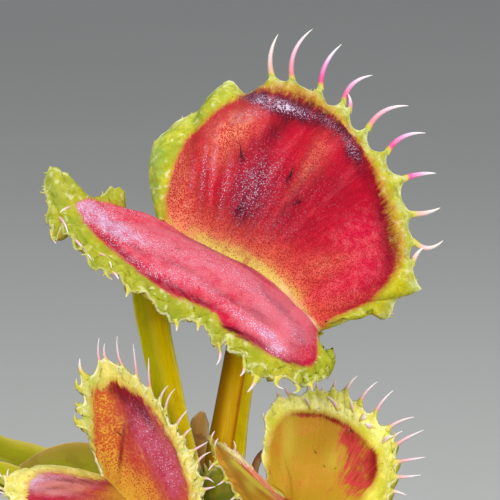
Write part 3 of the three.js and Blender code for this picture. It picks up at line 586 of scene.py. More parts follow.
# A look's numbers are the streaks' number per millimetre (veins), how far out the ground's ramp ends
# (spread) and the glands start (bare) and merge (covered), their size (cover, least) and number per metre
# (glands), and how strong each effect is. Its triples are colours.
# In each look the haze, glint and sheen entries paint sheen and highlights, olive paints shadow between the
# rim's knobs, and the greens of the rim and the back also paint shade in the creases of the folds.
RED_LOOK = {
    "veins": 1.0, "spread": 12.0, "bare": 0.2, "covered": 4.2, "cover": 0.24, "least": 0.38,
    "glands": 6400.0, "milky": 0.5, "deep": 0.5, "light": 0.45, "hazy": 0.03, "mist": 0.7, "outer": 0.9,
    "halo": 0.3, "dim": 0.42, "torn": 0.25, "soot": 0.0, "fray": 0.45, "olive": 0.5,
    "ground": [(0.0, 216, 194, 92), (0.09, 212, 172, 86), (0.14, 214, 128, 78), (0.21, 210, 78, 60),
               (0.32, 204, 36, 48), (0.5, 194, 12, 40), (1.0, 190, 8, 40)],
    "streak_deep": (144, 0, 28), "streak_pale": (218, 66, 80), "crimson": (164, 0, 26),
    "warm": (228, 130, 100), "dots": (146, 2, 26), "warm_dots": (182, 12, 26), "pink": (208, 18, 62),
    "pale_pink": (224, 76, 90), "rosy": (222, 110, 126), "maroon": (92, 2, 20), "violet": (92, 0, 40),
    "haze": (190, 140, 176), "spark": (230, 214, 238), "seam": (250, 226, 168), "burnt": (190, 96, 40),
    "sooty": (84, 84, 50), "rim": (188, 190, 50), "rim_green": (140, 162, 48), "rim_yellow": (190, 178, 44),
    "rim_dim": (146, 142, 20), "rim_soft": (206, 212, 142), "rim_warm": (196, 180, 14),
    "rim_pale": (232, 230, 180), "back": (176, 176, 44), "back_green": (128, 156, 40),
    "back_flush": (196, 112, 64),
}
LEFT_LOOK = dict(
    RED_LOOK, bare=0.0, covered=6.0, cover=0.4, least=0.3, milky=0.8, spread=9.0, deep=0.8, light=0.7,
    veins=1.3, halo=0.8, dim=0.0, soot=0.75, torn=0.6, glands=4900.0, hazy=0.12, mist=0.55, fray=1.0,
    olive=0.3,
    ground=[(0.0, 212, 166, 50), (0.25, 206, 142, 46), (0.5, 190, 78, 44), (1.0, 168, 34, 46)],
    streak_deep=(164, 24, 44), streak_pale=(222, 146, 78), crimson=(180, 44, 44), warm=(212, 156, 52),
    dots=(164, 24, 36), warm_dots=(198, 84, 36), pink=(168, 20, 56), pale_pink=(184, 52, 84),
    rosy=(206, 122, 118), maroon=(116, 10, 14), violet=(110, 8, 36), haze=(212, 186, 204),
    spark=(212, 146, 176), burnt=(196, 130, 48), rim=(242, 220, 112), rim_green=(204, 190, 78),
    rim_yellow=(218, 192, 80), rim_dim=(158, 160, 52), rim_warm=(146, 172, 44), rim_pale=(240, 234, 190),
)
OCHRE_LOOK = dict(
    RED_LOOK, bare=2.0, covered=26.0, cover=0.4, least=0.14, glands=4200.0, spread=20.0, deep=0.08,
    light=0.12, veins=1.9, halo=1.0, dim=0.0, soot=0.5, torn=0.9, hazy=0.04, outer=0.45, mist=0.95,
    fray=0.35, olive=0.25,
    ground=[(0.0, 182, 148, 30), (0.5, 180, 136, 28), (1.0, 174, 118, 30)],
    streak_deep=(176, 92, 34), streak_pale=(190, 154, 42), crimson=(194, 116, 40), warm=(202, 144, 50),
    dots=(172, 84, 30), warm_dots=(180, 80, 34), pink=(168, 8, 40), pale_pink=(196, 44, 60),
    rosy=(222, 132, 108), maroon=(124, 22, 10), haze=(232, 220, 150), seam=(204, 190, 70),
    burnt=(190, 110, 40), rim=(242, 232, 100), rim_green=(204, 204, 58), rim_yellow=(218, 198, 60),
    rim_dim=(172, 186, 44), rim_soft=(255, 250, 158), rim_warm=(188, 192, 40),
)


# ---------------------------------------------------------------- finishes of spines and stalks

VIVID_STOPS = [
    (0.0, 222, 74, 96), (0.25, 232, 96, 160), (0.5, 238, 158, 210), (0.75, 244, 222, 238),
    (1.0, 242, 238, 236),
]
QUIET_STOPS = [(0.0, 216, 186, 130), (0.3, 226, 190, 176), (0.6, 232, 214, 210), (1.0, 240, 236, 228)]


def cilia_finish():
    """Spines: the rim's lime at the foot, hot pink along the shaft, white at the tip, with faint rings."""
    made, tree, spot = finish_of("spine_pink", 0.42, 0.3)
    share, blush, away = parts_of(mark(tree, "spine"))
    cloudy = noise(spot, 2600, 2, 0.6)
    place = times_plus(cloudy, 0.16, plus(share, -0.08))
    vivid, quiet = ramp(place, VIVID_STOPS), ramp(place, QUIET_STOPS)
    foot = blend(between(noise(spot, *MOTTLES), 0.4, 0.6), rgb(192, 190, 62), rgb(214, 198, 84))
    started = between(times_plus(cloudy, 0.4, away), 0.75, 1.55)
    return finished(made, blend(started, foot, blend(blush, quiet, vivid)), relief=(cloudy, 0.25, 0.00005))


def trigger_finish():
    """Trigger hairs: near-black brown, paler at the very tip."""
    made, tree, spot = finish_of("trigger_brown", 0.45, 0.4)
    share = parts_of(mark(tree, "spine"))[0]
    place = times_plus(noise(spot, 3000), 0.2, plus(share, -0.1))
    return finished(made, ramp(place, [(0.0, 66, 10, 22), (0.5, 34, 12, 16), (1.0, 96, 52, 44)]))


def stalk_finish(name, stops, blotch, amount):
    """Stalk: lengthwise bands set by the place across it, drawn-out fibres and faint blotches."""
    made, tree, spot = finish_of(name, 0.42, 0.05)
    flow = mark(tree, "flow")
    wander = noise(stretched(flow, (0.8, 0.12, 1.0)), 1.0, 2, 0.5)
    bands = ramp(times_plus(wander, 0.14, times_plus(parts_of(flow)[0], 0.5, 0.43)), stops)
    fibre = noise(stretched(flow, (16.0, 0.35, 1.0)), 1.0, 3, 0.6)
    shade = blend(between(fibre, 0.35, 0.7, 0.0, 0.28), bands, rgb(140, 118, 4))
    cloud = noise(spot, *CLOUDS)
    shade = blend(between(cloud, 0.5, 0.72, 0.0, amount), shade, rgb(*blotch))
    return finished(made, shade, between(cloud, 0.2, 0.8, 0.34, 0.5), (fibre, 0.3, 0.00012))


# ---------------------------------------------------------------- finishes of the rest

def leaf_finish(name, stops, edge, roughness):
    """A small leaf: bands across it, mottled, browner in spots."""
    made, tree, spot = finish_of(name, roughness, 0.3)
    flow = mark(tree, "flow")
    place = times_plus(parts_of(flow)[0], 0.5, 0.5)
    fibre = noise(stretched(flow, (9.0, 0.5, 1.0)), 1.0, 3, 0.6)
    cloud = noise(spot, 900, 3, 0.6)
    shade = ramp(times_plus(fibre, 0.3, plus(place, -0.15)), stops)
    shade = blend(between(cloud, 0.5, 0.7, 0.0, 0.6), shade, rgb(*edge))
    return finished(made, shade, relief=(plus(fibre, cloud), 0.5, 0.0002))


def pot_finish():
    """Black moulded plastic: faint drawn scuffs, dust that gathers near the lip, satin."""
    made, _, spot = finish_of("pot_black", 0.42, 0.45)
    scuffs = noise(stretched(spot, (90, 90, 900)), 1.0, 4, 0.65)
    dusty = times(between(parts_of(spot)[2], 0.04, 0.072), between(noise(spot, 60, 4, 0.6), 0.42, 0.7))
    shade = blend(times(between(scuffs, 0.55, 0.75), 0.5), rgb(30, 31, 33), rgb(58, 58, 58))
    shade = blend(times(dusty, 0.3), shade, rgb(112, 98, 80))
    relief = times_plus(scuffs, 0.6, noise(spot, 1800)), 0.22, 0.00012
    return finished(made, shade, between(scuffs, 0.3, 0.75, 0.32, 0.55), relief)


def soil_finish():
    """Moist peat: dark crumbs and paler fibres, with a deep relief."""
    made, tree, spot = finish_of("peat_brown", 0.9, 0.2)
    crumbs = node(tree, "TexVoronoi", {"Vector": spot, "Scale": 900.0, "Randomness": 1.0})
    tint = parts_of(crumbs.outputs["Color"], "Color")[0]
    fibre = noise(stretched(spot, (300, 1900, 900)), 1.0, 3, 0.6, 1.5)
    cloud = noise(spot, 160, 4, 0.65)
    shade = blend(tint, rgb(36, 25, 17), rgb(70, 50, 33))
    shade = blend(between(fibre, 0.56, 0.68), shade, rgb(112, 84, 52))
    shade = blend(between(cloud, 0.5, 0.66, 0.0, 0.6), shade, rgb(64, 62, 26))
    deep = times_plus(crumbs.outputs["Distance"], -1.4, plus(fibre, cloud))
    return finished(made, shade, between(cloud, 0.3, 0.7, 0.7, 0.97), (deep, 0.9, 0.0006))


def moss_finish():
    """Moss: each leaflet has its own tone from deep green to yellow green."""
    made, tree, spot = finish_of("moss_green", 0.55, 0.3)
    fine = noise(spot, 2600)
    place = times_plus(fine, 0.4, plus(mark(tree, "tone", "Fac"), -0.2))
    stops = [(0.0, 62, 84, 18), (0.45, 112, 136, 30), (0.8, 156, 170, 52), (1.0, 186, 176, 84)]
    return finished(made, ramp(place, stops), relief=(fine, 0.4, 0.0001))


def grit_finish(name, low, high, rough):
    """Grains and roots: two tones in soft clouds, with a rough grain."""
    made, _, spot = finish_of(name, rough, 0.25)
    cloud, fine = noise(spot, 500, 3), noise(spot, 3200, 3, 0.7)
    shade = blend(between(cloud, 0.4, 0.65), rgb(*low), rgb(*high))
    return finished(made, shade, relief=(plus(cloud, fine), 0.7, 0.0003))


def floor_finish():
    """A plain pale sweep, evenly lit, with a trace of grain."""
    made, _, spot = finish_of("floor_pale", 0.9, 0.1)
    return finished(made, blend(between(noise(spot, 3, 2), 0.3, 0.7), rgb(205, 206, 203), rgb(209, 210, 207)))


GOLD_STOPS = [
    (0.0, 214, 212, 120), (0.05, 182, 172, 0), (0.3, 176, 168, 0), (0.6, 226, 196, 0), (0.84, 244, 206, 0),
    (0.94, 240, 222, 60), (1.0, 240, 232, 150),
]
REAR_STOPS = [
    (0.0, 112, 78, 0), (0.16, 158, 106, 0), (0.36, 224, 172, 0), (0.58, 232, 178, 0), (0.68, 190, 96, 10),
    (0.74, 226, 200, 0), (0.9, 252, 220, 0), (1.0, 244, 232, 120),
]
GREEN_STOPS = [
    (0.0, 212, 206, 100), (0.1, 182, 180, 32), (0.45, 168, 170, 28), (0.75, 188, 178, 36),
    (1.0, 214, 204, 104),
]
OLIVE_STOPS = [
    (0.0, 190, 184, 90), (0.2, 134, 142, 24), (0.6, 142, 142, 28), (0.86, 148, 130, 38), (0.95, 166, 138, 60),
    (1.0, 220, 194, 138),
]
TAN_STOPS = [(0.0, 232, 196, 136), (0.15, 222, 166, 96), (0.7, 232, 176, 92), (1.0, 246, 222, 170)]
BROWN_STOPS = [(0.0, 96, 56, 30), (0.5, 166, 106, 62), (1.0, 212, 168, 118)]

SPINE = cilia_finish()
TRIGGER = trigger_finish()


# ---------------------------------------------------------------- outlines, as in the solids
LARGE_TRAP = {
    "midrib": [
        [-4.7, 1, 32.3], [-2.1, 0, 31], [1.3, -1.5, 29.3], [4.9, -3, 27.5], [7.7, -4.3, 24.9],
        [10.2, -5.5, 22.3],
    ],
    "upper": [
        [-4.8, 1.5, 33.1], [-5.7, 3, 35.3], [-6.2, 5, 38.1], [-5.9, 6, 40.8], [-4.2, 7, 42.8],
        [-1.3, 7.5, 44.6], [0, 7.5, 46.4], [1.8, 7.5, 47.5], [3.4, 7, 46.3], [5.2, 6.5, 47.3], [8, 6, 47.2],
        [10.8, 5.5, 46.3], [13.1, 5, 44.8], [15.2, 4, 42.5], [17.1, 3, 40.2], [18.7, 2, 37.4],
        [19.3, 1, 34.7], [19.9, 0, 31.4], [20, -1, 28.7], [20.3, -2, 26.4], [18.5, -2.5, 25.5],
        [17.6, -3, 23.7], [15.8, -3.5, 24.3], [13.3, -4, 23.2], [10.8, -5, 22.5],
    ],
    "lower": [
        [-5.3, 1, 32.6], [-6.8, 1, 33.6], [-8.4, 0.5, 34.4], [-8.8, 1, 35.8], [-10.1, 0, 36.3],
        [-11.6, -1, 35.4], [-12.8, -2, 36.2], [-14.4, -2.5, 37.5], [-16, -3, 38], [-16.2, -5, 34.8],
        [-15.5, -7.5, 31.7], [-14.5, -8, 32.5], [-13.7, -9.5, 31.4], [-12.3, -10.5, 29.5],
        [-10.8, -11.6, 28.3], [-9.4, -12.3, 27.6], [-7.7, -13.2, 26.1], [-5.8, -13.5, 25.4],
        [-4, -13.5, 24.6], [-2.1, -13.5, 23.6], [-0.5, -14.5, 23.1], [0.6, -15.5, 21.7], [2.6, -17, 20.4],
        [4.3, -18.5, 18.2], [6, -18, 18.2], [8.7, -17, 17.6], [10.8, -15.5, 17.7], [11.9, -12, 18.9],
        [11.2, -9, 20.4], [10.5, -6.5, 21.8],
    ],
    "bulge": (2.2, 2.4), "rim": (-0.5, 0), "peak": 1.9,
}
LEFT_TRAP = {
    "midrib": [[-4, -16, 1.6], [-5.2, -14.8, 2.8], [-7, -12.5, 4.5], [-8.8, -10, 6.2], [-10.2, -8, 7.3]],
    "upper": [
        [-3.1, -16, 2.1], [-1.8, -15, 3.5], [-1.1, -13.5, 5.4], [-1, -12.5, 7], [-1.3, -11.5, 8.5],
        [-1.9, -10.7, 10], [-2.6, -10, 11.3], [-3.4, -9.5, 12.5], [-4.3, -9, 14], [-5.3, -8.5, 15.4],
        [-6.6, -8, 16.9], [-8.1, -7.5, 18.1], [-9.6, -7, 18.9], [-10.9, -7, 18.5], [-11.9, -7, 17.3],
        [-12.5, -7, 15.7], [-12.3, -7, 13.7], [-12, -7, 11.5], [-11.4, -7.3, 9.6], [-10.5, -7.8, 7.8],
    ],
    "lower": [
        [-4.4, -17.5, 1.1], [-6.1, -19.5, 0.7], [-8.9, -21, 0.9], [-12, -21.5, 1.6], [-15.1, -20.5, 2.7],
        [-17.3, -19, 4.1], [-18.8, -17, 5.7], [-19.4, -15, 7.1], [-19.2, -13.5, 8.3], [-18.2, -12, 8.9],
        [-16.5, -10.5, 8.7], [-14.6, -9.5, 8.3], [-12.2, -8.5, 7.9], [-10.6, -8, 7.5],
    ],
    "bulge": (-1.6, 1.2), "rim": (0, 0), "peak": 1,
}
RIGHT_TRAP = {
    "midrib": [[7.7, -6, 5.4], [9, -8.5, 4.5], [10.5, -11, 3.4], [11.9, -13, 2.3], [13.2, -15, 1.6]],
    "upper": [
        [7.3, -5.8, 5.9], [5.9, -5.5, 7.1], [5.3, -5.2, 9], [5.3, -5, 10.6], [5.7, -5, 12.4],
        [5.6, -5, 13.6], [6.2, -5, 14.6], [7.4, -5, 15.4], [8.8, -5, 15.5], [10.3, -5, 16],
        [11.9, -5.2, 16.1], [13.4, -5.5, 15.7], [14.5, -6, 14.9], [15.7, -6.5, 14], [16.8, -7, 12.9],
        [17.5, -7.7, 11.8], [17.9, -8.5, 10.4], [17.9, -9.5, 8.9], [17.5, -10.5, 7.4], [17.2, -12, 5.9],
        [16.5, -13.5, 4.1], [15.1, -15, 2.5],
    ],
    "lower": [
        [7.4, -6.3, 5.3], [6.1, -6.5, 6.8], [4.5, -7, 8.4], [2.9, -7.5, 9.8], [1.5, -8.3, 10.9],
        [0, -9, 12], [-0.2, -10, 11.7], [0.6, -11.5, 10.3], [1.4, -13, 8.9], [2.2, -14.5, 7.5],
        [3.2, -16, 5.9], [4.7, -17.5, 4.2], [6.8, -18.5, 2.5], [9.1, -18.5, 1.4], [11.6, -17, 1],
    ],
    "bulge": (-1.8, -1.2), "rim": (0.3, 0), "peak": 1,
}
LARGE_UPPER_CILIA = [
    [6.4, 46.9, 6.8, 51.9, 0.5], [8.4, 46.8, 10.3, 52.7, 0.9], [10.9, 45.6, 13, 50.7, 0.6],
    [13.3, 44.5, 16.3, 48, 0.8], [13.9, 43.9, 13.9, 46, -0.2], [15.7, 42.1, 20.1, 45, 0.8],
    [17.4, 39.6, 21.6, 42.1, 0.7], [19.2, 37.2, 23, 38, 0.2], [20, 33.9, 23.5, 34.5, -0.2],
    [20, 31.4, 23.3, 31.1, -0.7], [20.2, 28.4, 21.4, 30.5, 0.2],
]
LARGE_LOWER_CILIA = [
    [-16.1, 31.9, -15.6, 30.9, -0.1], [-9.9, 27.6, -9.3, 27, -0.1], [-8.4, 26.2, -8.6, 25.4, 0.1],
    [-3.3, 23.9, -3.3, 22.8, 0.1], [-1.3, 23, -1.3, 22.2, 0.1], [0.8, 21.3, 0.7, 19.2, 0.4],
    [3.2, 19.7, 2.9, 18.2, 0.3], [4.4, 17.5, 3.4, 16, 0.1], [6.7, 17.5, 7.2, 16.4, -0.5],
    [8.3, 17.2, 7.9, 16.4, 0.4], [9.9, 17.1, 10.1, 16.4, 0.1],
]
LEFT_UPPER_CILIA = [
    [-11.9, 17.3, -12.8, 19.6, 0.3], [-12.3, 16.6, -13.3, 17.6, 0.4], [-12.7, 15, -13.7, 15.4, 0.2],
    [-12.8, 13.2, -13.8, 14.1, 0.4], [-10.8, 18.8, -11, 21.8, 0.2], [-10, 18.9, -10.4, 21, 0.2],
    [-8.5, 17.9, -9.3, 21.4, 0.3], [-7.3, 17, -7.7, 20.7, 0], [-6.1, 15.8, -6.3, 19.4, 0.1],
    [-5.2, 14.9, -4.3, 16.9, 0.2], [-4.5, 14, -3.6, 16.6, 0.3], [-3.7, 12.5, -2.4, 14.5, 0.1],
    [-3, 11.4, -2, 12.6, 0.1], [-2.4, 10.1, -0.4, 11.3, 0], [-1.9, 9, -0.3, 10.5, 0.2],
    [-1.4, 7.7, 0.1, 7.5, 0.3], [-1.2, 6.8, 0.4, 7.2, 0], [-1.2, 5.5, 0.4, 5.7, 0.2],
]
LEFT_LOWER_CILIA = [
    [-19.9, 7.8, -20.8, 8.9, 0.1], [-19.9, 7.8, -19.9, 9.2, 0.1], [-20.1, 6.8, -21.3, 7.5, 0.1],
    [-20.1, 6, -21.3, 6.6, -0.1], [-19.8, 5, -21.1, 5.4, -0.2], [-19.1, 4, -20.5, 4.2, -0.2],
    [-18.1, 2.8, -19.7, 2.8, -0.2], [-16.6, 1.8, -18.1, 1.2, -0.1], [-14.6, 1, -15.9, 0, -0.1],
    [-12, 0.6, -12.8, -0.8, -0.1], [-9.4, 0.2, -9.8, -1.3, -0.1],
]
RIGHT_UPPER_CILIA = [
    [5.7, 13.4, 5.5, 14.3, 0.1], [7, 15, 6.6, 16.3, 0], [8.6, 15.3, 7.6, 16.9, 0.3],
    [9.9, 15.7, 9.8, 17, 0.2], [10.7, 15.8, 10.8, 17.2, 0.1], [12, 15.9, 12.3, 17.4, 0],
    [13.1, 15.7, 14.4, 17.7, 0.2], [14.5, 14.9, 16.4, 17.3, 0.2], [16, 13.8, 18, 16.5, 0.2],
    [17.1, 12.6, 20, 14, 0.2], [17.8, 11.5, 19, 12.5, 0.1], [18, 10.8, 21.2, 12.6, 0.1],
    [18.3, 9.3, 21.6, 9.9, 0], [18.2, 8.2, 21.2, 8.4, -0.1], [18, 6.7, 19.9, 6.3, 0.1],
    [17.7, 5.4, 19.7, 4.8, 0], [17, 3.6, 18.8, 2.8, 0],
]
RIGHT_LOWER_CILIA = [
    [0.1, 11.5, 0.5, 12.6, 0.1], [0.8, 10.9, 1.2, 12, 0.1], [1.7, 10.3, 1.3, 11.2, -0.1],
    [2.2, 9.7, 2.2, 11, -0.2], [0.3, 9.7, -0.6, 8.8, -0.1], [1.1, 8.2, 0.1, 7.4, 0.1],
    [2.2, 6.4, 1.2, 5.6, 0], [3.4, 4.8, 2.3, 4, 0], [5, 3.3, 4.1, 2.3, 0], [7.2, 2, 6.5, 0.7, 0],
]
PLAIN_TRAPS = {
    "small": {
        "neck": [-1, -5.3, 2.7], "along": [1, 0.03, 0.03], "mouth": [0, 0.05, 1], "length": 5.2,
        "height": 5.2, "half_angle": 11, "bulge": -0.5, "cilia": 7, "reach": 1.6,
    },
    "rear": {
        "neck": [5.3, 10.2, 29.8], "along": [0.35, 0.2, 0.9], "mouth": [-0.6, 0.7, 0.2], "length": 14,
        "height": 7, "half_angle": 38, "bulge": 0.9, "cilia": 9, "reach": 2.6,
    },
    "far_left": {
        "neck": [-27.3, 7.8, 13.7], "along": [-0.35, 0, 0.93], "mouth": [-0.5, -0.7, -0.2], "length": 13,
        "height": 7, "half_angle": 40, "bulge": 0.9, "cilia": 8, "reach": 2.4,
    },
    "winged": {
        "neck": [-25.2, 2.2, 5.2], "along": [-0.97, -0.15, 0.05], "mouth": [0, 0.05, 1], "length": 10,
        "height": 5, "half_angle": 34, "bulge": 0.6, "cilia": 7, "reach": 2,
    },
    "near_left": {
        "neck": [-26.3, -4.5, 10.5], "along": [-0.75, -0.4, 0.5], "mouth": [0, -0.7, 0.6], "length": 11,
        "height": 6, "half_angle": 36, "bulge": 0.8, "cilia": 7, "reach": 2.2,
    },
    "far_right": {
        "neck": [24.9, 11.5, -0.2], "along": [0.85, 0.4, -0.04], "mouth": [0, 0, 1], "length": 11,
        "height": 6, "half_angle": 56, "bulge": 0.8, "cilia": 7, "reach": 1.8,
    },
    "front": {
        "neck": [9.1, -26.6, -1.3], "along": [0.2, -0.95, 0.05], "mouth": [0, 0, 1], "length": 11,
        "height": 7, "half_angle": 46, "bulge": 0.8, "cilia": 7, "reach": 2.2,
    },
    "back": {
        "neck": [11.2, 14.4, 8.1], "along": [0.1, 0.15, 0.95], "mouth": [0.1, 0.8, 0], "length": 6,
        "height": 4, "half_angle": 30, "bulge": 0.4, "cilia": 6, "reach": 1.2,
    },
}
PETIOLES = {
    "large": {"width": [1, 0, 0], "rib": 1.7, "path": [
        [-1.2, -1.6, -1.9, 1.6], [-1.5, -1.6, 3, 1.75], [-2.9, -1.2, 9.2, 1.7], [-3.85, -0.6, 13.2, 1.62],
        [-4.6, 0, 17.2, 1.57], [-5.5, 0.8, 21.2, 1.6], [-6.1, 1.5, 25.2, 1.8], [-6.3, 2.1, 28, 1.5],
        [-5.9, 2.5, 30, 0.9], [-4.82, 2.35, 31.56, 0.58],
    ]},
    "rear": {"width": [1, 0, 0], "rib": 1.7, "path": [
        [0.6, 1.5, -1.9, 1.6], [0.5, 1.6, 3, 2], [1.4, 2, 9.4, 2], [1.95, 2.6, 13.2, 1.8],
        [2.6, 3.4, 17.2, 1.7], [3, 4.8, 20.6, 1.45], [3.9, 7.4, 25.4, 1.1], [4.82, 9.82, 28.9, 0.55],
    ]},
    "left": {"width": [1, 0, 0.1], "rib": 1.2, "path": [
        [-2.5, -3.8, -1.9, 0.8], [-2.7, -4.6, -0.5, 0.9], [-2.6, -8.5, -0.8, 1.4], [-2.6, -13, -1.8, 1.3],
        [-3.2, -16.2, -1.4, 0.8], [-3.76, -16.68, 0.43, 0.5],
    ]},
    "right": {"width": [0.5, -0.85, 0.1], "rib": 1.2, "path": [
        [3.6, -2.7, -1.9, 0.8], [4.1, -3.1, 0.2, 1.1], [5.4, -3.7, 2.2, 1.2], [6.5, -4.2, 3.7, 0.8],
        [7.28, -5.18, 4.68, 0.5],
    ]},
    "small": {"width": [1, 0, 0], "rib": 1, "path": [
        [-0.3, -4.5, -1.9, 0.7], [-0.4, -4.7, -0.2, 0.7], [-1, -5, 1.2, 0.6], [-1.3, -5.2, 2.16, 0.45],
    ]},
    "far_left": {"width": [0.2, 0.6, 0.77], "rib": 1.3, "path": [
        [-3.1, 3.2, -1.9, 0.8], [-3.8, 4, 0.8, 0.9], [-9, 7.3, 5.2, 1.5], [-16, 8.6, 8.2, 1.7],
        [-21.5, 8.2, 10, 1.5], [-26.7, 7.7, 12.98, 0.55],
    ]},
    "winged": {"width": [-0.1, 0.5, 0.86], "rib": 1.2, "path": [
        [-4.3, 1.5, -1.9, 0.8], [-5, 2, 0.8, 1.1], [-8, 3.4, 4, 2.8], [-12.5, 4.2, 7, 4.1],
        [-16, 4, 7.5, 3.2], [-19.5, 3.2, 7, 1.3], [-24.18, 2.52, 5.53, 0.6],
    ]},
    "near_left": {"width": [0, 0.75, 0.66], "rib": 1.2, "path": [
        [-4.3, -1.4, -1.9, 0.8], [-5, -1.6, 0.4, 1], [-9, -1.3, 3, 1.3], [-14, -1.6, 5.2, 1.5],
        [-18, -2.5, 7, 1.6], [-22, -3.5, 8.6, 1.3], [-25.4, -4.24, 9.84, 0.6],
    ]},
    "far_right": {"width": [-0.4, 0.9, 0.2], "rib": 1.2, "path": [
        [4.5, 0.7, -1.9, 0.8], [5.2, 1, 0, 1.1], [9.5, 3.6, 1.1, 1.9], [16, 7, 0.8, 2.4],
        [21, 9.6, 0.3, 1.3], [24.02, 11.05, 0.2, 0.6],
    ]},
    "front": {"width": [1, 0.2, 0], "rib": 1.2, "path": [
        [2, -4.1, -1.9, 0.8], [2.4, -5, -0.6, 1], [4.2, -10, -1.2, 1.7], [6.6, -17, -2.4, 2.4],
        [8.4, -22.5, -2.2, 1.5], [8.9, -25.8, -1.5, 0.6],
    ]},
    "back": {"width": [0.8, -0.6, 0], "rib": 1.2, "path": [
        [2.9, 3.6, -1.9, 0.8], [3.4, 4.4, 0.6, 1], [6, 8.4, 3.4, 1.3], [9, 12, 5.4, 1.1],
        [11.0, 14.3, 7.37, 0.5],
    ]},
}
YOUNG_LEAF = {"width": [1, 0, 0], "rib": 0.9, "path": [
    [-0.9, 4.5, -1.9, 0.6], [-0.9, 4.9, 3, 0.6], [-1, 5.1, 8.4, 0.5], [-1.2, 5.2, 11, 0.95],
    [-1.2, 5.2, 12.6, 0.95], [-0.9, 5.1, 13.8, 0.3],
]}
DEAD_STALK = {"width": [0.3, 0, -1], "rib": 0.7, "path": [
    [4.1, 2.5, -1.9, 0.4], [4.6, 2.6, 3, 0.45], [4.4, 2.4, 8.2, 0.4], [5, 2.1, 9.5, 0.4],
    [6.4, 1.8, 10.5, 0.35],
]}


# ---------------------------------------------------------------- traps

RIM_SHARE = 0.22  # of the way, in which a lobe's rim bends
FLARE_DEPTH, SCALLOP_DEPTH = 1.8, 2.6  # how far in from the margin spines pull it out and gaps draw it in
TIP_RADIUS = 0.022  # of a spine
EDGE_HALF = 0.07  # half the thickness of a trap's blade at its margin
KEEL_SHARE = 0.055  # of the way to the margin, half the width of the keel
WASH_LIMIT = 2.4  # past which overlapping washes add no more


def lobe(midrib, margin, facing, bulge, rim, peak, u, v):
    """Rows from midrib to margin, v of the way, lifted along facing by bulge · 4v(1 − v) and, in the outer
    RIM_SHARE, by rim · (its own share of that)², both times sin(π · u^peak)^0.7."""
    swell = np.maximum(0, np.sin(math.pi * u**peak)) ** 0.7
    lift = bulge * 4 * v * (1 - v) + rim * np.maximum(0, (v - (1 - RIM_SHARE)) / RIM_SHARE) ** 2
    way = margin - midrib
    return midrib[:, None] + way[:, None] * v[:, None] + facing * (swell[:, None] * lift)[..., None]


def outward(count):
    """Shares of the way from midrib to margin, closer together near the margin: t + 0.2 · sin(πt)."""
    t = np.linspace(0, 1, count)
    return t + 0.2 * np.sin(math.pi * t)


def fitted_lobes(shape, count, across):
    """The fine rows of a fitted trap: midrib spaced by 0.5 − 0.5cos(πu), margins evenly, both facings."""
    u, v = np.linspace(0, 1, count), outward(across)
    midrib = spaced(shape["midrib"], 0.5 - 0.5 * np.cos(math.pi * u))
    margins = [spaced(shape[key], u) for key in ("upper", "lower")]
    run = midrib[-1] - midrib[0]
    facings = [unit(np.cross(run, m.mean(0) - midrib[0])) for m in margins]
    if facings[0][1] > 0:
        facings[0] = -facings[0]
    if facings[1][2] < 0:
        facings[1] = -facings[1]
    lobes = [lobe(midrib, *of_one, peak, u, v)
             for *of_one, peak in zip(margins, facings, shape["bulge"], shape["rim"], (1, shape["peak"]))]
    return u, v, *lobes, facings


def crumpled(rows, facing, amount, size, seed, depth):
    """The rim crumpled along facing: noise of that size, full at the margin and gone depth in from it. Also
    gives the noise."""
    inward = np.linalg.norm(rows - rows[:, -1:], axis=-1)
    wave = ripple(rows, size, seed) + 0.45 * ripple(rows, size * 0.45, seed + 1)
    return rows + facing * (amount * wave * rise(inward, depth, depth * 0.15))[..., None], wave


def cilia_marks(rows, listed, reach):
    """Where each spine [foot right, foot up, tip right, tip up, bow] stands: the row whose margin is nearest
    the foot, its place there, the tip, carried along and moved reach forwards, the bow, the direction in
    which it starts and its length."""
    edge = rows[:, -1]
    given = np.asarray(listed, float)
    off = np.hypot(edge[:, None, 0] - given[:, 0], edge[:, None, 2] - given[:, 1])
    index = off.argmin(0)
    foot = edge[index]
    shift = np.stack([given[:, 2] - given[:, 0], np.full(len(given), reach), given[:, 3] - given[:, 1]], -1)
    aside = unit(np.stack([-shift[:, 2], 0 * shift[:, 0], shift[:, 0]], -1)) * given[:, 4:5]
    tip = foot + shift
    heading = unit((foot + tip) / 2 + 2 * aside - foot)
    return index, foot, tip, aside, heading, np.linalg.norm(tip - foot, axis=1)


def crumpled_twice(rows, facing, coarse, fine):
    """Crumpled coarsely and then finely, each by [amount, size, seed, depth]. Also gives the coarse noise."""
    rows, fold = crumpled(rows, facing, *coarse)
    return crumpled(rows, facing, *fine)[0], fold


def flared(rows, index, heading, height, width):
    """The margin pulled out at each index by height · e^(−distance / width) along its heading. The pull fades
    out FLARE_DEPTH in from the margin."""
    edge = rows[:, -1]
    run = lengths(edge)
    away = np.abs(run[:, None] - run[index])
    pull = ((np.exp(-away / width) * height)[..., None] * heading).sum(1)
    inward = np.linalg.norm(rows - edge[:, None], axis=-1)
    return rows + pull[:, None] * rise(inward, FLARE_DEPTH, 0)[..., None] ** 1.5


def nudged(rows, seen, spots, ways, width):
    """The margin pulled out in the same manner along ways, at the rows whose margin, seen in the front view,
    is nearest to each of spots."""
    nearest = [np.hypot(*(seen - spot).T).argmin() for spot in spots]
    return flared(rows, np.array(nearest), np.array(ways), 1.0, width)


def scalloped(rows, index, depth, width):
    """The margin drawn in between the spines: depth · (1 − e^(−distance to the nearest / width)), in the
    direction of the row, fading out SCALLOP_DEPTH in."""
    edge = rows[:, -1]
    run = lengths(edge)
    near = np.abs(run[:, None] - run[index]).min(1)
    inset = depth * (1 - np.exp(-near / width))
    way = unit(rows[:, -8] - edge)
    inward = np.linalg.norm(rows - edge[:, None], axis=-1)
    return rows + (way * inset[:, None])[:, None] * rise(inward, SCALLOP_DEPTH, 0)[..., None]


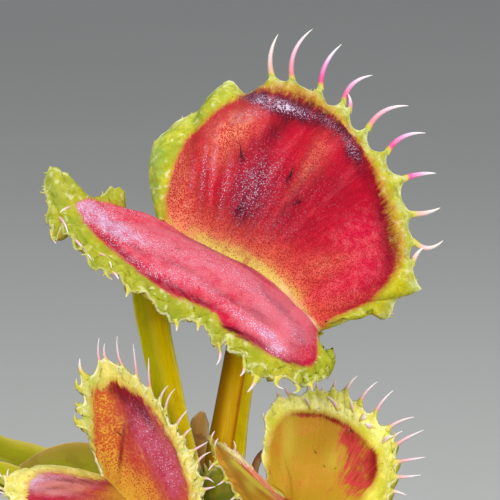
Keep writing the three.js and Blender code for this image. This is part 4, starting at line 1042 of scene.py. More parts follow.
def border_way(rows, index):
    """The direction of the margin at those rows."""
    last = len(rows) - 1
    return unit(rows[np.minimum(index + 2, last), -1] - rows[np.maximum(index - 2, 0), -1])


def spines(name, feet, tips, aside, facing, border, radius, slot, nodes, blush, flare, reach, sides=7,
           rings=15, taper=2.2, early=1.0):
    """Curved spines: a quadratic arc bowed aside and drawn to a point, radius · (1 − share^taper)^0.9 thick.
    The foot spreads flat along the border, wider by flare · e^(−distance / reach). The pink starts the sooner
    the larger early is."""
    t = np.linspace(0, 1, rings)[None, :, None] ** 1.25
    middle = (feet + tips) / 2 + 2 * aside
    paths = (1 - t) ** 2 * feet[:, None] + 2 * t * (1 - t) * middle[:, None] + t * t * tips[:, None]
    share = np.broadcast_to(t[..., 0], paths.shape[:2])
    away = share * np.linalg.norm(tips - feet, axis=1)[:, None]
    across = unit(np.cross(unit(np.gradient(paths, axis=1)), facing))
    with_border = border * np.sign((border * across[:, 0]).sum(-1, keepdims=True))
    across = unit(across + with_border[:, None] * 2.5 * np.exp(-((away / 0.5) ** 2))[..., None])
    radius, blush, flare = (np.broadcast_to(value, len(feet))[:, None] for value in (radius, blush, flare))
    radii = radius * (1 - share**taper) ** 0.9 + TIP_RADIUS
    squash = 1 + flare * np.exp(-away / reach) / radii
    points, faces = tubes(paths, radii, across, squash, sides)
    marks = np.stack([share, np.broadcast_to(blush, share.shape), away * early], -1)
    marks = np.repeat(marks.reshape(-1, 3), sides, axis=0)
    return piece(name, points, faces, SPINE, nodes, marks={"spine": marks})


def fringe(name, rows, facing, count, size, skip, slot, nodes, seed, blush=0.0):
    """Small pale teeth at seeded spots of the margin, each its own length and tilt, none within skip rows of
    the ends."""
    rng = np.random.default_rng(seed)
    index = rng.integers(skip, len(rows) - skip, count)
    edge = rows[index, -1]
    out = unit(edge - rows[index, -4])
    along = unit(rows[index + 2, -1] - rows[index - 2, -1])
    long = rng.uniform(*size, count)[:, None]
    tips = edge + out * long + along * long * rng.uniform(-0.5, 0.5, (count, 1))
    tips = tips + facing * long * rng.uniform(-0.3, 0.6, (count, 1))
    aside = along * long * rng.uniform(-0.12, 0.12, (count, 1))
    radius = rng.uniform(0.035, 0.06, count)
    return spines(name, edge - out * 0.15, tips, aside, facing, along, radius, slot, nodes, blush, 0.1, 0.14,
                  sides=5, rings=6)


def inner_spines(name, rows, spots, lean_out, radius, slot, nodes):
    """Trigger hairs [foot x, foot y, tip x, tip y] in the front view, on the nearest points of the face. Each
    rises lean_out from the surface and ends over its tip."""
    rings, sides = 9, 7
    seen = front(rows)
    given = np.asarray(spots, float)
    flat = rows.reshape(-1, 3)
    away = np.hypot(*(seen[..., axis].ravel()[:, None] - given[:, axis] for axis in (0, 1)))
    feet = flat[(away + 0.4 * flat[:, 1:2]).argmin(0)]
    right, down = (given[:, 2:4] - given[:, :2]).T / 10
    tips = feet + np.stack([right, np.full(len(given), -lean_out), -down], -1)
    t = np.linspace(0, 1, rings)[None, :, None]
    bow = np.array([0.0, -0.12, 0.0])
    paths = feet[:, None] * (1 - t) + tips[:, None] * t + bow * 4 * t * (1 - t)
    share = np.broadcast_to(t[..., 0], paths.shape[:2])
    radii = radius * ((1 - share) ** 0.8 * 0.85 + 0.16) + 0.07 * np.exp(-share * 12)
    across = unit(np.cross(unit(np.gradient(paths, axis=1)), [0.0, -1.0, 0.05]))
    points, faces = tubes(paths, radii, across, np.ones_like(radii), sides)
    marks = np.repeat(np.stack([share, share * 0, share * 0], -1).reshape(-1, 3), sides, axis=0)
    return piece(name, points, faces, TRIGGER, nodes, marks={"spine": marks})


def curls(name, rows, listed, lift, radius, facing, slot, nodes, blush, flare=0.15, reach=0.25, taper=2.2):
    """Pale hairs that stand on the face, [foot x, foot y, tip x, tip y, bow] in the front view: each arcs
    from the nearest point of the face to lift before that nearest its tip."""
    seen = front(rows).reshape(-1, 2)
    given = np.asarray(listed, float)
    flat = rows.reshape(-1, 3)
    nearest = lambda spots: flat[np.hypot(*(seen[:, None] - spots).transpose(2, 0, 1)).argmin(0)]
    feet, tips = nearest(given[:, :2]), nearest(given[:, 2:4])
    off = given[:, 2:4] - front(tips)
    tips = tips + np.stack([off[:, 0] / 10, np.full(len(given), -lift), -off[:, 1] / 10], -1)
    way = unit(tips - feet)
    aside = np.stack([-way[:, 2], 0 * way[:, 0], way[:, 0]], -1) * given[:, 4:5] - np.array([0, 0.15, 0])
    return spines(name, feet, tips, aside, facing, unit(np.cross(way, facing)), radius, slot, nodes, blush,
                  flare, reach, rings=13, taper=taper, early=2.5)


def measured(rows, along, side, fold):
    """Marks that every lobe has: place across the veins, reach from the groove, distance in from the margin,
    which lobe it is (side, −1 for the lower and 1 for the upper), and the crumpling."""
    step = np.linalg.norm(np.diff(rows, axis=1), axis=-1)
    groove = np.concatenate([np.zeros((len(rows), 1)), np.cumsum(step, axis=1)], axis=1)
    return {"rows": rows, "along": np.broadcast_to(along, groove.shape), "groove": groove, "reach": groove,
            "rim": groove[:, -1:] - groove, "side": np.full(groove.shape, side), "fold": fold,
            "pale": np.zeros(groove.shape)}


def fanned(rows, pole, radius):
    """Place across veins that fan out from a pole in the front view: the angle round it times radius."""
    seen = front(rows)
    return np.arctan2(pole[1] - seen[..., 1], seen[..., 0] - pole[0]) * radius


def painted(marks, outline, listed):
    """Adds the flush, how deep a point lies in the red outline in millimetres, and the five washes."""
    seen = front(marks["rows"])
    loop = spaced([(x, y, 0) for x, y in [*outline, outline[0]]], np.linspace(0, 1, 90))[:-1, :2]
    marks["flush"] = inside_by(seen, loop) * 0.1
    # One of these washes is painted sheen and glints, and also a glossier surface.
    for key in ("warm", "dark", "wet", "pink", "pale"):
        marks[key] = np.minimum(washes(seen, listed.get(key, [])), WASH_LIMIT)
    return marks


def trap_piece(name, sides, v, facing, material, slot, nodes, keel, thick=0.62):
    """Both lobes as one blade. sides are lower and upper, each a dict of its rows and its marks. The rows run
    whichever way turns the blade's normal to the upper lobe's facing. Where the mark both is given and 1, the
    back takes the inner face's finish."""
    join = lambda key: np.concatenate([sides[0][key][:, :0:-1], sides[1][key]], axis=1)
    sheet = join("rows")
    normal = np.cross(np.gradient(sheet, axis=0), np.gradient(sheet, axis=1))[:, len(v):].mean((0, 1))
    if normal @ facing < 0:
        sides = [{key: value[::-1] for key, value in side.items()} for side in sides]
        sheet = join("rows")
    margin = join("rim")
    half = thick / 2 * rise(margin, -0.5, 1.6) + EDGE_HALF
    columns = sheet.shape[1]
    from_keel = np.abs(np.arange(columns) - (columns - 1) / 2) / len(v)
    ridge = keel * np.exp(-((from_keel / KEEL_SHARE) ** 2))
    points, faces = blade(sheet, half, half + ridge)
    flow = np.stack([join("along"), join("reach"), join("side")], -1).reshape(-1, 3)
    # The zones' fourth value is painted sheen and glints, and also a glossier surface.
    zones = np.stack([join("flush"), join("warm"), join("dark"), join("wet")], -1).reshape(-1, 4)
    edges = np.stack([margin, join("groove"), np.ones(margin.shape), join("pink")], -1).reshape(-1, 4)
    behind = edges * [1, 1, 0, 1]
    if "both" in sides[1]:
        behind[:, 2] = join("both").ravel()
    marks = {
        "flow": np.vstack([flow, flow + [50, 0, 0]]),
        "zones": np.vstack([zones, zones]),
        "edges": np.vstack([edges, behind]),
        "fold": np.tile(join("fold").ravel(), 2),
        "pale": np.tile(join("pale").ravel(), 2),
    }
    return piece(name, points, faces, material, nodes, marks=marks)


# ---------------------------------------------------------------- the large trap

RED_UPPER = [
    (168, 218), (168, 200), (172, 180), (180, 157), (190, 140), (205, 127), (215, 115), (230, 105),
    (245, 98), (262, 90), (300, 95), (326, 111), (345, 129), (360, 150), (372, 170), (379, 190), (389, 218),
    (395, 240), (396, 265), (388, 281), (377, 293), (366, 302), (345, 312.5), (328, 320.5), (313, 331),
    (290, 310), (262, 290), (215, 258), (170, 236),
]
RED_LOWER = [
    (74, 205), (80, 218), (92, 235), (110, 252), (130, 268), (150, 283), (170, 295), (192, 305), (213, 315),
    (225, 330), (250, 345), (270, 358), (300, 368), (313, 366), (316, 350), (315.5, 334), (318, 322),
    (300, 280), (262, 250), (215, 225), (165, 205), (140, 208), (125, 208), (100, 203), (88, 200),
]
LARGE_UPPER_WASHES = {
    "gold": [
        (205, 242, 40, 6, 27, 0.7), (262, 275, 30, 5, 38, 1.2), (292, 296, 16, 4, 45, 0.8),
        (318, 318, 16, 12, 50, -1.4),
    ],
    "warm": [
        (180, 195, 14, 60, 0, 0.9), (200, 225, 40, 18, 20, 0.4), (236, 130, 24, 15, -35, 1.0),
        (222, 150, 14, 22, 20, 0.5), (316, 158, 10, 22, 25, 0.4), (304, 176, 5, 34, 34, 0.35),
        (270, 245, 46, 12, 30, 0.3), (330, 264, 46, 12, -25, 0.5), (336, 296, 36, 12, -15, 0.45),
    ],
    # Darker spots: dark streaks and marks, and painted shade by the top and right border where the lobe
    # turns.
    "dark": [
        (292, 115, 46, 8, 20, 1.5), (256, 99, 24, 6, 10, 0.7), (276, 132, 26, 8, -40, 0.8),
        (352, 158, 7, 22, -28, 1.4), (254, 190, 22, 40, 22, 0.8), (300, 190, 4, 50, 32, 0.35),
        (292, 224, 30, 22, 30, 0.3), (300, 212, 60, 34, 10, 0.15), (335, 190, 30, 20, 0, 0.4),
        (240, 214, 14, 10, 0, 0.45), (243, 160, 3, 5, 0, 1.2), (289, 180, 3, 5, 20, 1.2),
        (298, 203, 3, 4, 20, 1.0), (241, 208, 5, 4, 0, 1.2), (225, 105, 12, 4, -30, 0.6),
    ],
    # Painted sheen and glints, and a glossier surface.
    "wet": [
        (252, 186, 24, 40, 22, 0.74), (194, 178, 3, 26, 8, 0.6), (205, 172, 3, 36, 6, 0.9),
        (214, 166, 3, 34, 6, 1.0), (226, 188, 3, 30, 10, 0.7), (248, 118, 24, 7, -15, 0.8),
        (262, 104, 20, 5, 10, 0.9), (286, 110, 28, 5, 20, 1.5), (350, 150, 5, 14, -28, 1.1),
        (330, 128, 14, 5, 45, 0.7), (268, 180, 2.5, 44, 35, 0.3), (235, 245, 40, 4, 27, 0.15),
        (376, 225, 8, 40, -4, 0.1), (310, 196, 34, 50, 30, 0.2), (278, 232, 24, 16, 30, 0.2),
    ],
    "pink": [
        (364, 250, 22, 40, 0, 0.75), (330, 292, 40, 14, -20, 0.6), (338, 240, 30, 16, -30, 0.4),
        (282, 150, 18, 22, 30, 0.3),
    ],
    "pale": [
        (167, 180, 5, 40, 8, -0.4), (263.5, 274.5, 12, 1.8, 38, 0.6), (282, 289, 14, 1.8, 42, 0.8),
        (300, 306, 13, 1.6, 50, 0.9), (314, 323, 8, 1.4, 57, 1.0), (158, 175, 5, 34, 5, 0.25),
        (178, 118, 6, 22, 35, 0.3), (224, 80, 6, 14, 10, 0.3), (154, 205, 7, 14, 0, 0.1),
        (384, 170, 18, 40, -28, -0.7), (398, 262, 16, 50, 0, -1.1), (384, 310, 16, 16, 0, -1.0),
        (345, 325, 30, 5, -20, -0.9),
    ],
}
LARGE_LOWER_WASHES = {
    "warm": [(128, 232, 20, 12, 30, 0.25), (230, 300, 30, 10, 30, 0.15)],
    "dark": [
        (106, 241, 18, 2.5, 36, 0.8), (128, 260, 20, 3, 34, 0.8), (160, 284, 26, 4, 24, 0.8),
        (196, 302, 26, 4, 24, 0.8), (243, 338, 34, 4, 28, 1.3), (200, 248, 40, 2, 26, 0.5),
        (250, 274, 30, 2, 34, 0.4), (290, 364, 16, 5, 10, 0.7), (226, 300, 30, 3, 34, 0.45),
        (268, 300, 22, 3, 50, 0.3), (112, 236, 10, 3, 40, 0.5), (134, 250, 14, 2.5, 36, 0.5),
        (176, 268, 22, 3, 26, 0.4), (258, 318, 16, 5, 40, 0.5), (296, 346, 10, 12, 0, 0.4),
        (286, 316, 28, 2.5, 48, 0.3), (262, 298, 30, 2, 40, 0.25), (296, 336, 20, 2.5, 58, 0.25),
    ],
    # Painted sheen and wet highlights, and a glossier surface.
    "wet": [
        (252, 296, 50, 14, 38, 0.55), (296, 340, 26, 8, 55, 0.5), (88, 214, 17, 12, 25, 2.0),
        (112, 232, 20, 10, 38, 1.5), (134, 240, 30, 8, 38, 1.0), (100, 222, 30, 6, 40, 0.8),
        (130, 214, 30, 5, 14, 0.8), (162, 250, 46, 8, 28, 0.9), (190, 282, 30, 6, 25, 0.9),
        (240, 318, 28, 6, 36, 1.2), (268, 338, 14, 5, 34, 2.4), (276, 352, 10, 5, 20, 1.8),
        (150, 272, 34, 6, 28, 1.0), (214, 262, 60, 10, 32, 0.7),
    ],
    "pink": [(190, 258, 140, 60, 28, 1.15), (285, 330, 40, 50, 40, 1.0)],
    "pale": [
        (262, 278, 12, 1.0, 38, 0.8), (280, 292, 13, 1.0, 42, 0.9), (298, 309, 13, 1.0, 50, 1.0),
        (312, 326, 8, 1.0, 56, 1.0), (62, 190, 12, 14, 30, 0.3), (283, 374, 20, 6, 12, -0.8),
        (236, 350, 40, 6, 30, -0.5), (150, 298, 50, 6, 24, -0.4),
    ],
}
UPPER_FLOOR = [
    (300, 345), (316, 329), (337, 325), (350, 319.5), (371, 310), (377, 313), (383, 317), (390, 315),
    (396, 300), (400, 297),
]
LOWER_ROOF = [
    (40, 168), (50, 171), (66, 176.5), (75, 187), (84, 192.5), (94, 198), (100, 196), (108, 200),
    (118, 206), (124, 209), (130, 211), (150, 219), (165, 226.5), (175, 230.5), (189, 233.5), (205, 242),
    (228, 256), (250, 268.5), (267, 281), (287, 296), (300, 309.5), (315, 328), (318, 339), (324, 351),
    (331, 365),
]
LARGE_GRID = 360, 46  # rows along the midrib, and points from it to the margin
LARGE_FAN = (190, 330), 14  # pole and radius of the veins of the upper lobe
TURNED_EDGE = [(337, 319, 13, 7, 0, 4.0), (323, 331, 7, 6, 0, 4.0)]  # where its back takes the inner finish
# where the flush's border is drawn out, and where painted shade darkens the furrow just inside it
DRAWN_OUT = [(300, 100, 70, 22, 22, 0.85), (385, 190, 26, 60, 0, 0.6), (395, 250, 22, 40, 0, 0.6)]
BORDER_FURROW_SHADE = [(390, 225, 24, 60, 0, 0.7), (320, 112, 66, 26, 30, 0.8)]
# The spines and what they do to the margin: reach forwards, height and width of the pull under each, its
# start as a share of that height less a length, and spots, ways and width of the nudges.
LARGE_MARGINS = {
    "upper": {
        "cilia": LARGE_UPPER_CILIA, "reach": -0.4, "height": 1.0, "width": 0.6, "start": (0.7, 0.15),
        "thick": 0.25, "blush": [0.05, 0.55, 1.0, 0.85, 0.8, 0.5, 1.0, 1.5, 0.1, 0.1, 0.0], "flare": 0.12,
        "early": 1.7, "nudges": ([(416, 288), (384, 317)], [[0.6, 0, -0.1], [-0.1, 0, -0.2]], 0.35),
    },
    "lower": {
        "cilia": LARGE_LOWER_CILIA, "reach": -0.3, "height": 0.3, "width": 0.5, "start": (0.5, 0.25),
        "thick": 0.14, "blush": 0.3, "flare": 0.3, "early": 1.0,
        "nudges": ([(50, 172), (54, 242), (330, 360)], [[-0.1, 0, 0.55], [0.1, 0, -0.5], [0.3, 0, 0.1]], 0.4),
    },
}
LARGE_TRIGGERS = [(243, 161, 240, 139), (289, 180, 295, 161), (298, 203, 303, 197), (241, 208, 242, 203)]
LOW_TRIGGERS = [(173, 239, 184, 240.5)]
LARGE_CURLS = [
    (72, 207, 60, 213, -0.2), (57, 216, 68, 233, 0.4), (70, 235, 92, 260, 0.15), (98, 253, 112, 268, 0.45),
    (111, 272, 119, 279, 0.1),
]


def large_upper(u, v, rows, facing):
    """The upper lobe: swollen inside the flush, with a furrow along its border, its margin lifted to
    UPPER_FLOOR, and crumpled up to the far end. Also gives the crumpling."""
    flush = inside_by(front(rows), RED_UPPER)
    dome = rise(flush, -6, 22) - 0.35 * rise(np.abs(flush), 16, 0)
    rows = rows + facing * (0.9 * dome * rise(v, 0.05, 0.3)[None])[..., None]
    seen = front(rows)
    floor = np.interp(seen[..., 0], *np.array(UPPER_FLOOR).T)
    under = np.maximum(0, seen[..., 1] - floor) * (seen[..., 0] > 316) * (seen[..., 0] < 400)
    rows = rows + np.array([0, 0.2, 1.0]) * (0.1 * (under * rise(v, 1.0, 0.93)[None]))[..., None]
    crumply, fold = crumpled_twice(rows, facing, (0.3, 4.2, 3, 3.2), (0.12, 1.5, 5, 2.4))
    return rows + (crumply - rows) * rise(u, 1.0, 0.9)[:, None, None], fold


def large_lower(u, v, rows, facing):
    """The lower lobe: drawn back at its far end, its margin lowered to LOWER_ROOF, with a furrow along the
    flush's border, and crumpled. Also gives the crumpling."""
    end = rise(u, 0.84, 1.0)[:, None] * np.sin(math.pi * v)
    rows = rows - facing * (1.1 * end)[..., None]
    seen = front(rows)
    roof = np.interp(seen[..., 0], *np.array(LOWER_ROOF).T)
    over = np.maximum(0, roof - seen[..., 1]) * (seen[..., 0] < 330)
    over = over * rise(v, 1.0, 0.93)[None] * rise(v, 0.0, 0.04)[None]
    rows = rows - np.array([0, 0.35, 1.0]) * (0.1 * over)[..., None]
    flush = inside_by(front(rows), RED_LOWER)
    rows = rows + facing * (-0.45 * rise(np.abs(flush + 4), 14, 0))[..., None]
    return crumpled_twice(rows, facing, (0.65, 2.4, 11, 2.6), (0.24, 1.0, 13, 2.2))


def large_margin(part, rows, facing):
    """The lobe with its margin drawn in between the spines of the upper lobe, nudged out at a few spots and
    pulled out under each spine, and the call that makes the spines."""
    at = SimpleNamespace(**LARGE_MARGINS[part])
    index, foot, tip, aside, heading, long = cilia_marks(rows, at.cilia, at.reach)
    tall = np.minimum(at.height, 0.32 * long)
    seen = front(rows[:, -1])
    if part == "upper":
        deep = (0.8 * rise(seen[:, 1], 190, 150) + 0.35) * rise(seen[:, 0], 300, 330)
        rows = scalloped(rows, index, deep * rise(seen[:, 1], 285, 265), 0.8)
    rows = nudged(rows, seen, *at.nudges)
    start = (tall * at.start[0] - at.start[1])[:, None]
    make = partial(spines, f"trap_large_{part}_spines", foot + heading * start, tip, aside, facing,
                   border_way(rows, index), np.minimum(at.thick, 0.09 * long), "trap_red", ["trap_large"],
                   at.blush, np.minimum(at.flare, 0.25 * long), 0.55, sides=11, rings=20, early=at.early)
    return flared(rows, index, heading * tall[:, None], 1.0, at.width), make


def large_trap():
    """The trap that faces the eye: an upper lobe whose streaks fan out from below it, and a lower lobe whose
    streaks run along it, so there the place across the streaks is the reach."""
    u, v, upper, lower, (up, low) = fitted_lobes(LARGE_TRAP, *LARGE_GRID)
    upper, fold_up = large_upper(u, v, upper, up)
    lower, fold_low = large_lower(u, v, lower, low)
    upper, upper_spines = large_margin("upper", upper, up)
    lower, lower_spines = large_margin("lower", lower, low)

    seen = front(upper)
    near = painted(measured(lower, 0, -1.0, fold_low), RED_LOWER, LARGE_LOWER_WASHES)
    fan = fanned(upper, *LARGE_FAN)
    far = painted(measured(upper, fan, 1.0, fold_up), RED_UPPER, LARGE_UPPER_WASHES)
    far["flush"] = far["flush"] * (1 - np.minimum(washes(seen, DRAWN_OUT), 0.8))
    far["groove"] = far["reach"] = far["groove"] - washes(seen, LARGE_UPPER_WASHES["gold"])
    # Painted shade in the furrow just inside the flush's border.
    band = rise(far["flush"], -0.25, 0.15) * rise(far["flush"], 1.0, 0.3)
    far["dark"] = far["dark"] + band * washes(seen, BORDER_FURROW_SHADE)
    near["groove"] = near["along"] = near["groove"] + 6
    near["reach"] = np.linspace(0, 30, len(u))[:, None] + 0 * v
    near["both"] = 0 * near["groove"]
    far["both"] = washes(seen, TURNED_EDGE) > 1

    bound = "trap_red", ["trap_large"]
    trap_piece("trap_large_leaf", [near, far], v, up, trap_finish("trap_crimson", RED_LOOK), *bound, 0.9)
    upper_spines()
    lower_spines()
    fringe("trap_large_upper_fringe", upper, up, 70, (0.12, 0.5), 14, *bound, 81)
    fringe("trap_large_lower_fringe", lower, low, 60, (0.12, 0.5), 14, *bound, 82, 0.2)
    inner_spines("trap_large_triggers", upper[:, 3:40], LARGE_TRIGGERS, 0.7, 0.1, *bound)
    inner_spines("trap_large_low_triggers", lower[:, 14:40], LOW_TRIGGERS, 0.9, 0.1, *bound)
    curls("trap_large_curls", lower, LARGE_CURLS, 0.6, 0.13, low, *bound, 0.25)


# ---------------------------------------------------------------- the left and the right trap

LEFT_UPPER_RED = [
    (94, 428), (94, 405), (96, 386), (103, 391), (110, 384), (116, 383), (130, 390), (148, 404), (155, 415),
    (167, 432), (176, 450), (181, 465), (187, 479), (189, 505), (182, 550), (150, 550), (125, 502),
    (113, 484), (105, 469), (96, 450),
]
LEFT_LOWER_RED = [
    (29, 486), (40, 477), (53, 475), (66, 477), (81, 482), (98, 484), (112, 483), (150, 540), (100, 560),
    (40, 540), (28, 510),
]
LEFT_UPPER_WASHES = {
    "pale": [(92, 400, 6, 34, 0, -0.9), (95, 446, 7, 40, -14, -1.2), (104, 383, 12, 6, 0, -0.6)],
    "warm": [
        (106, 400, 10, 16, -8, 0.6), (106, 430, 14, 44, -8, 0.8), (122, 425, 7, 16, 10, 0.5),
        (142, 488, 30, 16, 30, 0.5), (112, 460, 14, 20, -15, 0.6),
    ],
    "dark": [
        (120, 392, 12, 7, 38, 1.1), (138, 406, 24, 7, 46, 1.1), (123, 448, 2.2, 26, 4, 1.0),
        (112, 388, 4, 8, 0, 0.5), (150, 418, 4, 26, -30, 0.5), (132, 424, 5, 18, 12, 0.5),
        (176, 450, 3, 22, -20, 0.5),
    ],
    # Painted sheen and glints, and a glossier surface.
    "wet": [(158, 450, 16, 40, -26, 0.95), (176, 482, 10, 26, -10, 0.5), (138, 420, 12, 24, -30, 0.35)],
    "pink": [
        (150, 436, 14, 36, -26, 1.0), (172, 478, 12, 26, -10, 1.0), (101, 396, 4, 14, 0, 0.2),
        (140, 404, 16, 10, 40, 0.7),
    ],
}
LEFT_LOWER_WASHES = {
    "warm": [(95, 496, 30, 8, 10, 0.7), (66, 490, 26, 8, 5, 0.7)],
    "dark": [
        (86, 485, 30, 3, 8, 0.6), (50, 492, 22, 2.2, -8, 0.6), (60, 483, 24, 2.2, 6, 0.4),
        (76, 496, 20, 2, 12, 0.4),
    ],
    # Painted sheen and glints, and a glossier surface.
    "wet": [
        (32, 484, 12, 10, 0, 2.0), (50, 480, 20, 4, 0, 1.2), (60, 496, 30, 4, 10, 0.7),
        (60, 486, 30, 3, 6, 0.6),
    ],
    "pink": [(60, 490, 40, 12, 0, 1.7), (90, 484, 30, 3, 5, 0.4)],
    "pale": [(50, 470, 40, 5, 0, 0.6)],
}
RIGHT_UPPER_RED = [
    (292, 412), (305, 411), (322, 413), (340, 420), (354, 428), (366, 440), (376, 452), (380, 466),
    (377, 482), (366, 496), (350, 530), (300, 545), (262, 520), (266, 480), (268, 450), (272, 432),
    (282, 418),
]
RIGHT_UPPER_WASHES = {
    "warm": [(308, 425, 28, 12, 0, 0.9), (310, 480, 24, 20, 0, 0.8), (344, 456, 12, 26, 0, 0.8)],
    "dark": [
        (306, 414, 14, 2.0, 2, 1.1), (333, 419, 17, 2.2, 22, 1.5), (352.6, 431.4, 1.8, 1.8, 0, 2.4),
        (375, 464, 6, 24, 4, 1.2), (362, 440, 10, 3, 50, 0.5), (352, 456, 14, 2, -50, 0.4),
        (360, 474, 14, 2, -60, 0.4),
    ],
    # Painted sheen and glints, and a glossier surface.
    "wet": [(360, 470, 10, 20, 0, 0.1), (352, 430, 5, 4, 0, 0.4)],
    "pink": [
        (365, 460, 13, 26, -8, 0.72), (349, 438, 8, 10, -20, 0.75), (305, 414.5, 15, 2.6, 2, 1.0),
        (337, 421, 16, 3, 26, 1.2), (360, 488, 14, 12, 0, 0.6), (346, 468, 12, 26, 10, 0.4),
        (376, 462, 6, 24, 4, 0.6),
    ],
    "pale": [
        (270, 440, 7, 40, 4, -1.1), (312, 404, 30, 6, 4, 1.6), (350, 414, 20, 6, 30, 1.3),
        (378, 434, 14, 5, 55, 0.8), (389, 462, 4, 22, 0, 0.6), (288, 436, 9, 34, 0, 0.5),
        (334, 462, 8, 12, 20, 0.4),
    ],
}
RIGHT_LOWER_RED = [(196, 428), (222, 428), (250, 452), (290, 488), (320, 560), (230, 570), (196, 470)]
RIGHT_LOWER_WASHES = {
    "warm": [(240, 478, 30, 16, 40, 1.0)],
    "dark": [
        (236, 470, 12, 2, 52, 0.8), (252, 490, 14, 2, 40, 0.9), (228, 464, 3, 8, -20, 0.5),
        (240, 488, 2.5, 12, -30, 0.6),
    ],
    # Painted sheen and glints, and a glossier surface.
    "wet": [
        (262, 491, 3, 1.6, -30, 2.4), (273, 498, 2, 1, 40, 1.5), (222, 446, 18, 5, 42, 2.2),
        (240, 459, 14, 6, 38, 1.8), (252, 467, 8, 4, 40, 1.0),
    ],
    "pink": [(246, 464, 12, 6, 38, 1.6), (262, 479, 16, 8, 44, 2.4), (275, 494, 12, 8, 50, 2.4)],
    "pale": [
        (220, 446, 18, 3, 42, 0.6), (240, 473, 12, 1.8, 44, 1.6), (258, 489, 16, 1.8, 42, 1.6),
        (230, 466, 7, 6, 50, 0.7), (248, 488, 9, 6, 50, 0.8),
    ],
}
SIDE_GRID = 240, 36
SIDE_TRAPS = {
    "trap_left": {
        "shape": LEFT_TRAP, "finish": "trap_orange", "look": LEFT_LOOK, "slot": "trap_red", "seed": 41,
        "upper": (LEFT_UPPER_RED, LEFT_UPPER_WASHES, LEFT_UPPER_CILIA),
        "lower": (LEFT_LOWER_RED, LEFT_LOWER_WASHES, LEFT_LOWER_CILIA),
        "crumple": (0.3, 0.3), "pole": (85, 270), "blush": 0.3, "flare": 0.3, "thick": 0.13, "hooked": 92,
        "drawn": [(86, 400, 14, 40, 0, 1.0), (178, 432, 20, 60, -30, 0.6)],
        "triggers": [(1, [(124, 437, 114, 427)]), (0, [(80, 482, 74.6, 475.6), (75.5, 487.6, 70.5, 482.2)])],
    },
    "trap_right": {
        "shape": RIGHT_TRAP, "finish": "trap_ochre_blushed", "look": OCHRE_LOOK, "slot": "trap_ochre",
        "seed": 61,
        "upper": (RIGHT_UPPER_RED, RIGHT_UPPER_WASHES, RIGHT_UPPER_CILIA),
        "lower": (RIGHT_LOWER_RED, RIGHT_LOWER_WASHES, RIGHT_LOWER_CILIA),
        "crumple": (0.2, 0.3), "pole": (300, 560), "blush": 0.25, "flare": 0.4, "thick": 0.18, "hooked": 0,
        "drawn": [(366, 410, 70, 50, 30, 0.5)],
        "triggers": [
            (1, [(317.6, 454.5, 313.6, 449), (325.5, 467.6, 323.6, 463), (333.2, 472, 335.9, 468.9)]),
        ],
        "front_spines": [
            (335, 409, 327.7, 396.3, -0.25), (351.5, 410, 349.6, 400, -0.1), (360, 416, 366, 416.5, -0.1),
            (372, 430, 365.5, 423, -0.1), (309, 405, 305, 398, -0.1), (382, 441, 392, 436, 0.1),
        ],
    },
}


def side_trap(name, shape, finish, look, slot, seed, upper, lower, crumple, pole, blush, flare, thick, hooked,
              drawn, triggers, front_spines=()):
    """A fitted trap. upper and lower are each lobe's red outline, washes and spines, and triggers give the
    lobe, 0 for lower and 1 for upper, and its hairs. Spines left of hooked in the front view are thick pale
    hooks. The upper margin is drawn in between the spines where the washes of drawn say."""
    u, v, high_rows, low_rows, facings = fitted_lobes(shape, *SIDE_GRID)
    coarse, fine = (crumple[0], 2.4, seed, 2.6), (crumple[0] * 0.6, 0.9, seed + 1, 2.2)
    high_rows, fold_up = crumpled_twice(high_rows, facings[0], coarse, fine)
    low_rows, fold_low = crumpled(low_rows, facings[1], crumple[1], 2.2, seed + 2, 2.4)
    marks = []
    for part, rows, facing, fold, reach, (outline, painting, cilia) in (
        ("lower", low_rows, facings[1], fold_low, -0.3, lower),
        ("upper", high_rows, facings[0], fold_up, -0.4, upper),
    ):
        index, foot, tip, aside, heading, long = cilia_marks(rows, cilia, reach)
        tall = np.minimum(0.75, 0.34 * long)
        hooks = np.zeros(len(foot), bool)
        across, side = np.linspace(0, 18, len(u))[:, None], -1.0
        if part == "upper":
            hooks = front(foot)[:, 0] < hooked
            rows = scalloped(rows, index, washes(front(rows[:, -1]), drawn), 0.9)
            tall = np.where(hooks, 1.0, tall)
        rows = flared(rows, index, heading * tall[:, None], 1.0, 0.5)
        if part == "upper":
            across, side = fanned(rows, pole, 9), 1.0
        marks.append(painted(measured(rows, across, side, fold), outline, painting))
        rng = np.random.default_rng(seed + 7)
        radius = np.where(hooks, np.minimum(0.3, 0.2 * long), np.minimum(thick, 0.08 * long))
        pink = np.where(hooks, 0.0, np.clip(blush * rng.uniform(0.4, 1.6, len(foot)), 0, 1))
        spines(f"{name}_{part}_spines", foot + heading * (tall * 0.6 - 0.3)[:, None], tip, aside, facing,
               border_way(rows, index), radius, slot, [name], pink, np.minimum(flare, 0.22 * long), 0.35,
               taper=1.5, early=np.where(hooks, 0.7, 1.5)[:, None])
        fringe(f"{name}_{part}_fringe", rows, facing, 34, (0.1, 0.4), 10, slot, [name], seed + 8)
    trap_piece(f"{name}_leaf", marks, v, facings[0], trap_finish(finish, look), slot, [name], 0.7)
    if front_spines:
        curls(f"{name}_front_spines", marks[1]["rows"][:, 18:], front_spines, 0.6, 0.17, facings[0], slot,
              [name], 0.15, 0.6, 0.45, 1.4)
    for k, (which, spots) in enumerate(triggers):
        rows = marks[which]["rows"][:, 3:32]
        inner_spines(f"{name}_triggers_{k + 1}", rows, spots, 0.5, 0.06, slot, [name])


# ---------------------------------------------------------------- the other traps

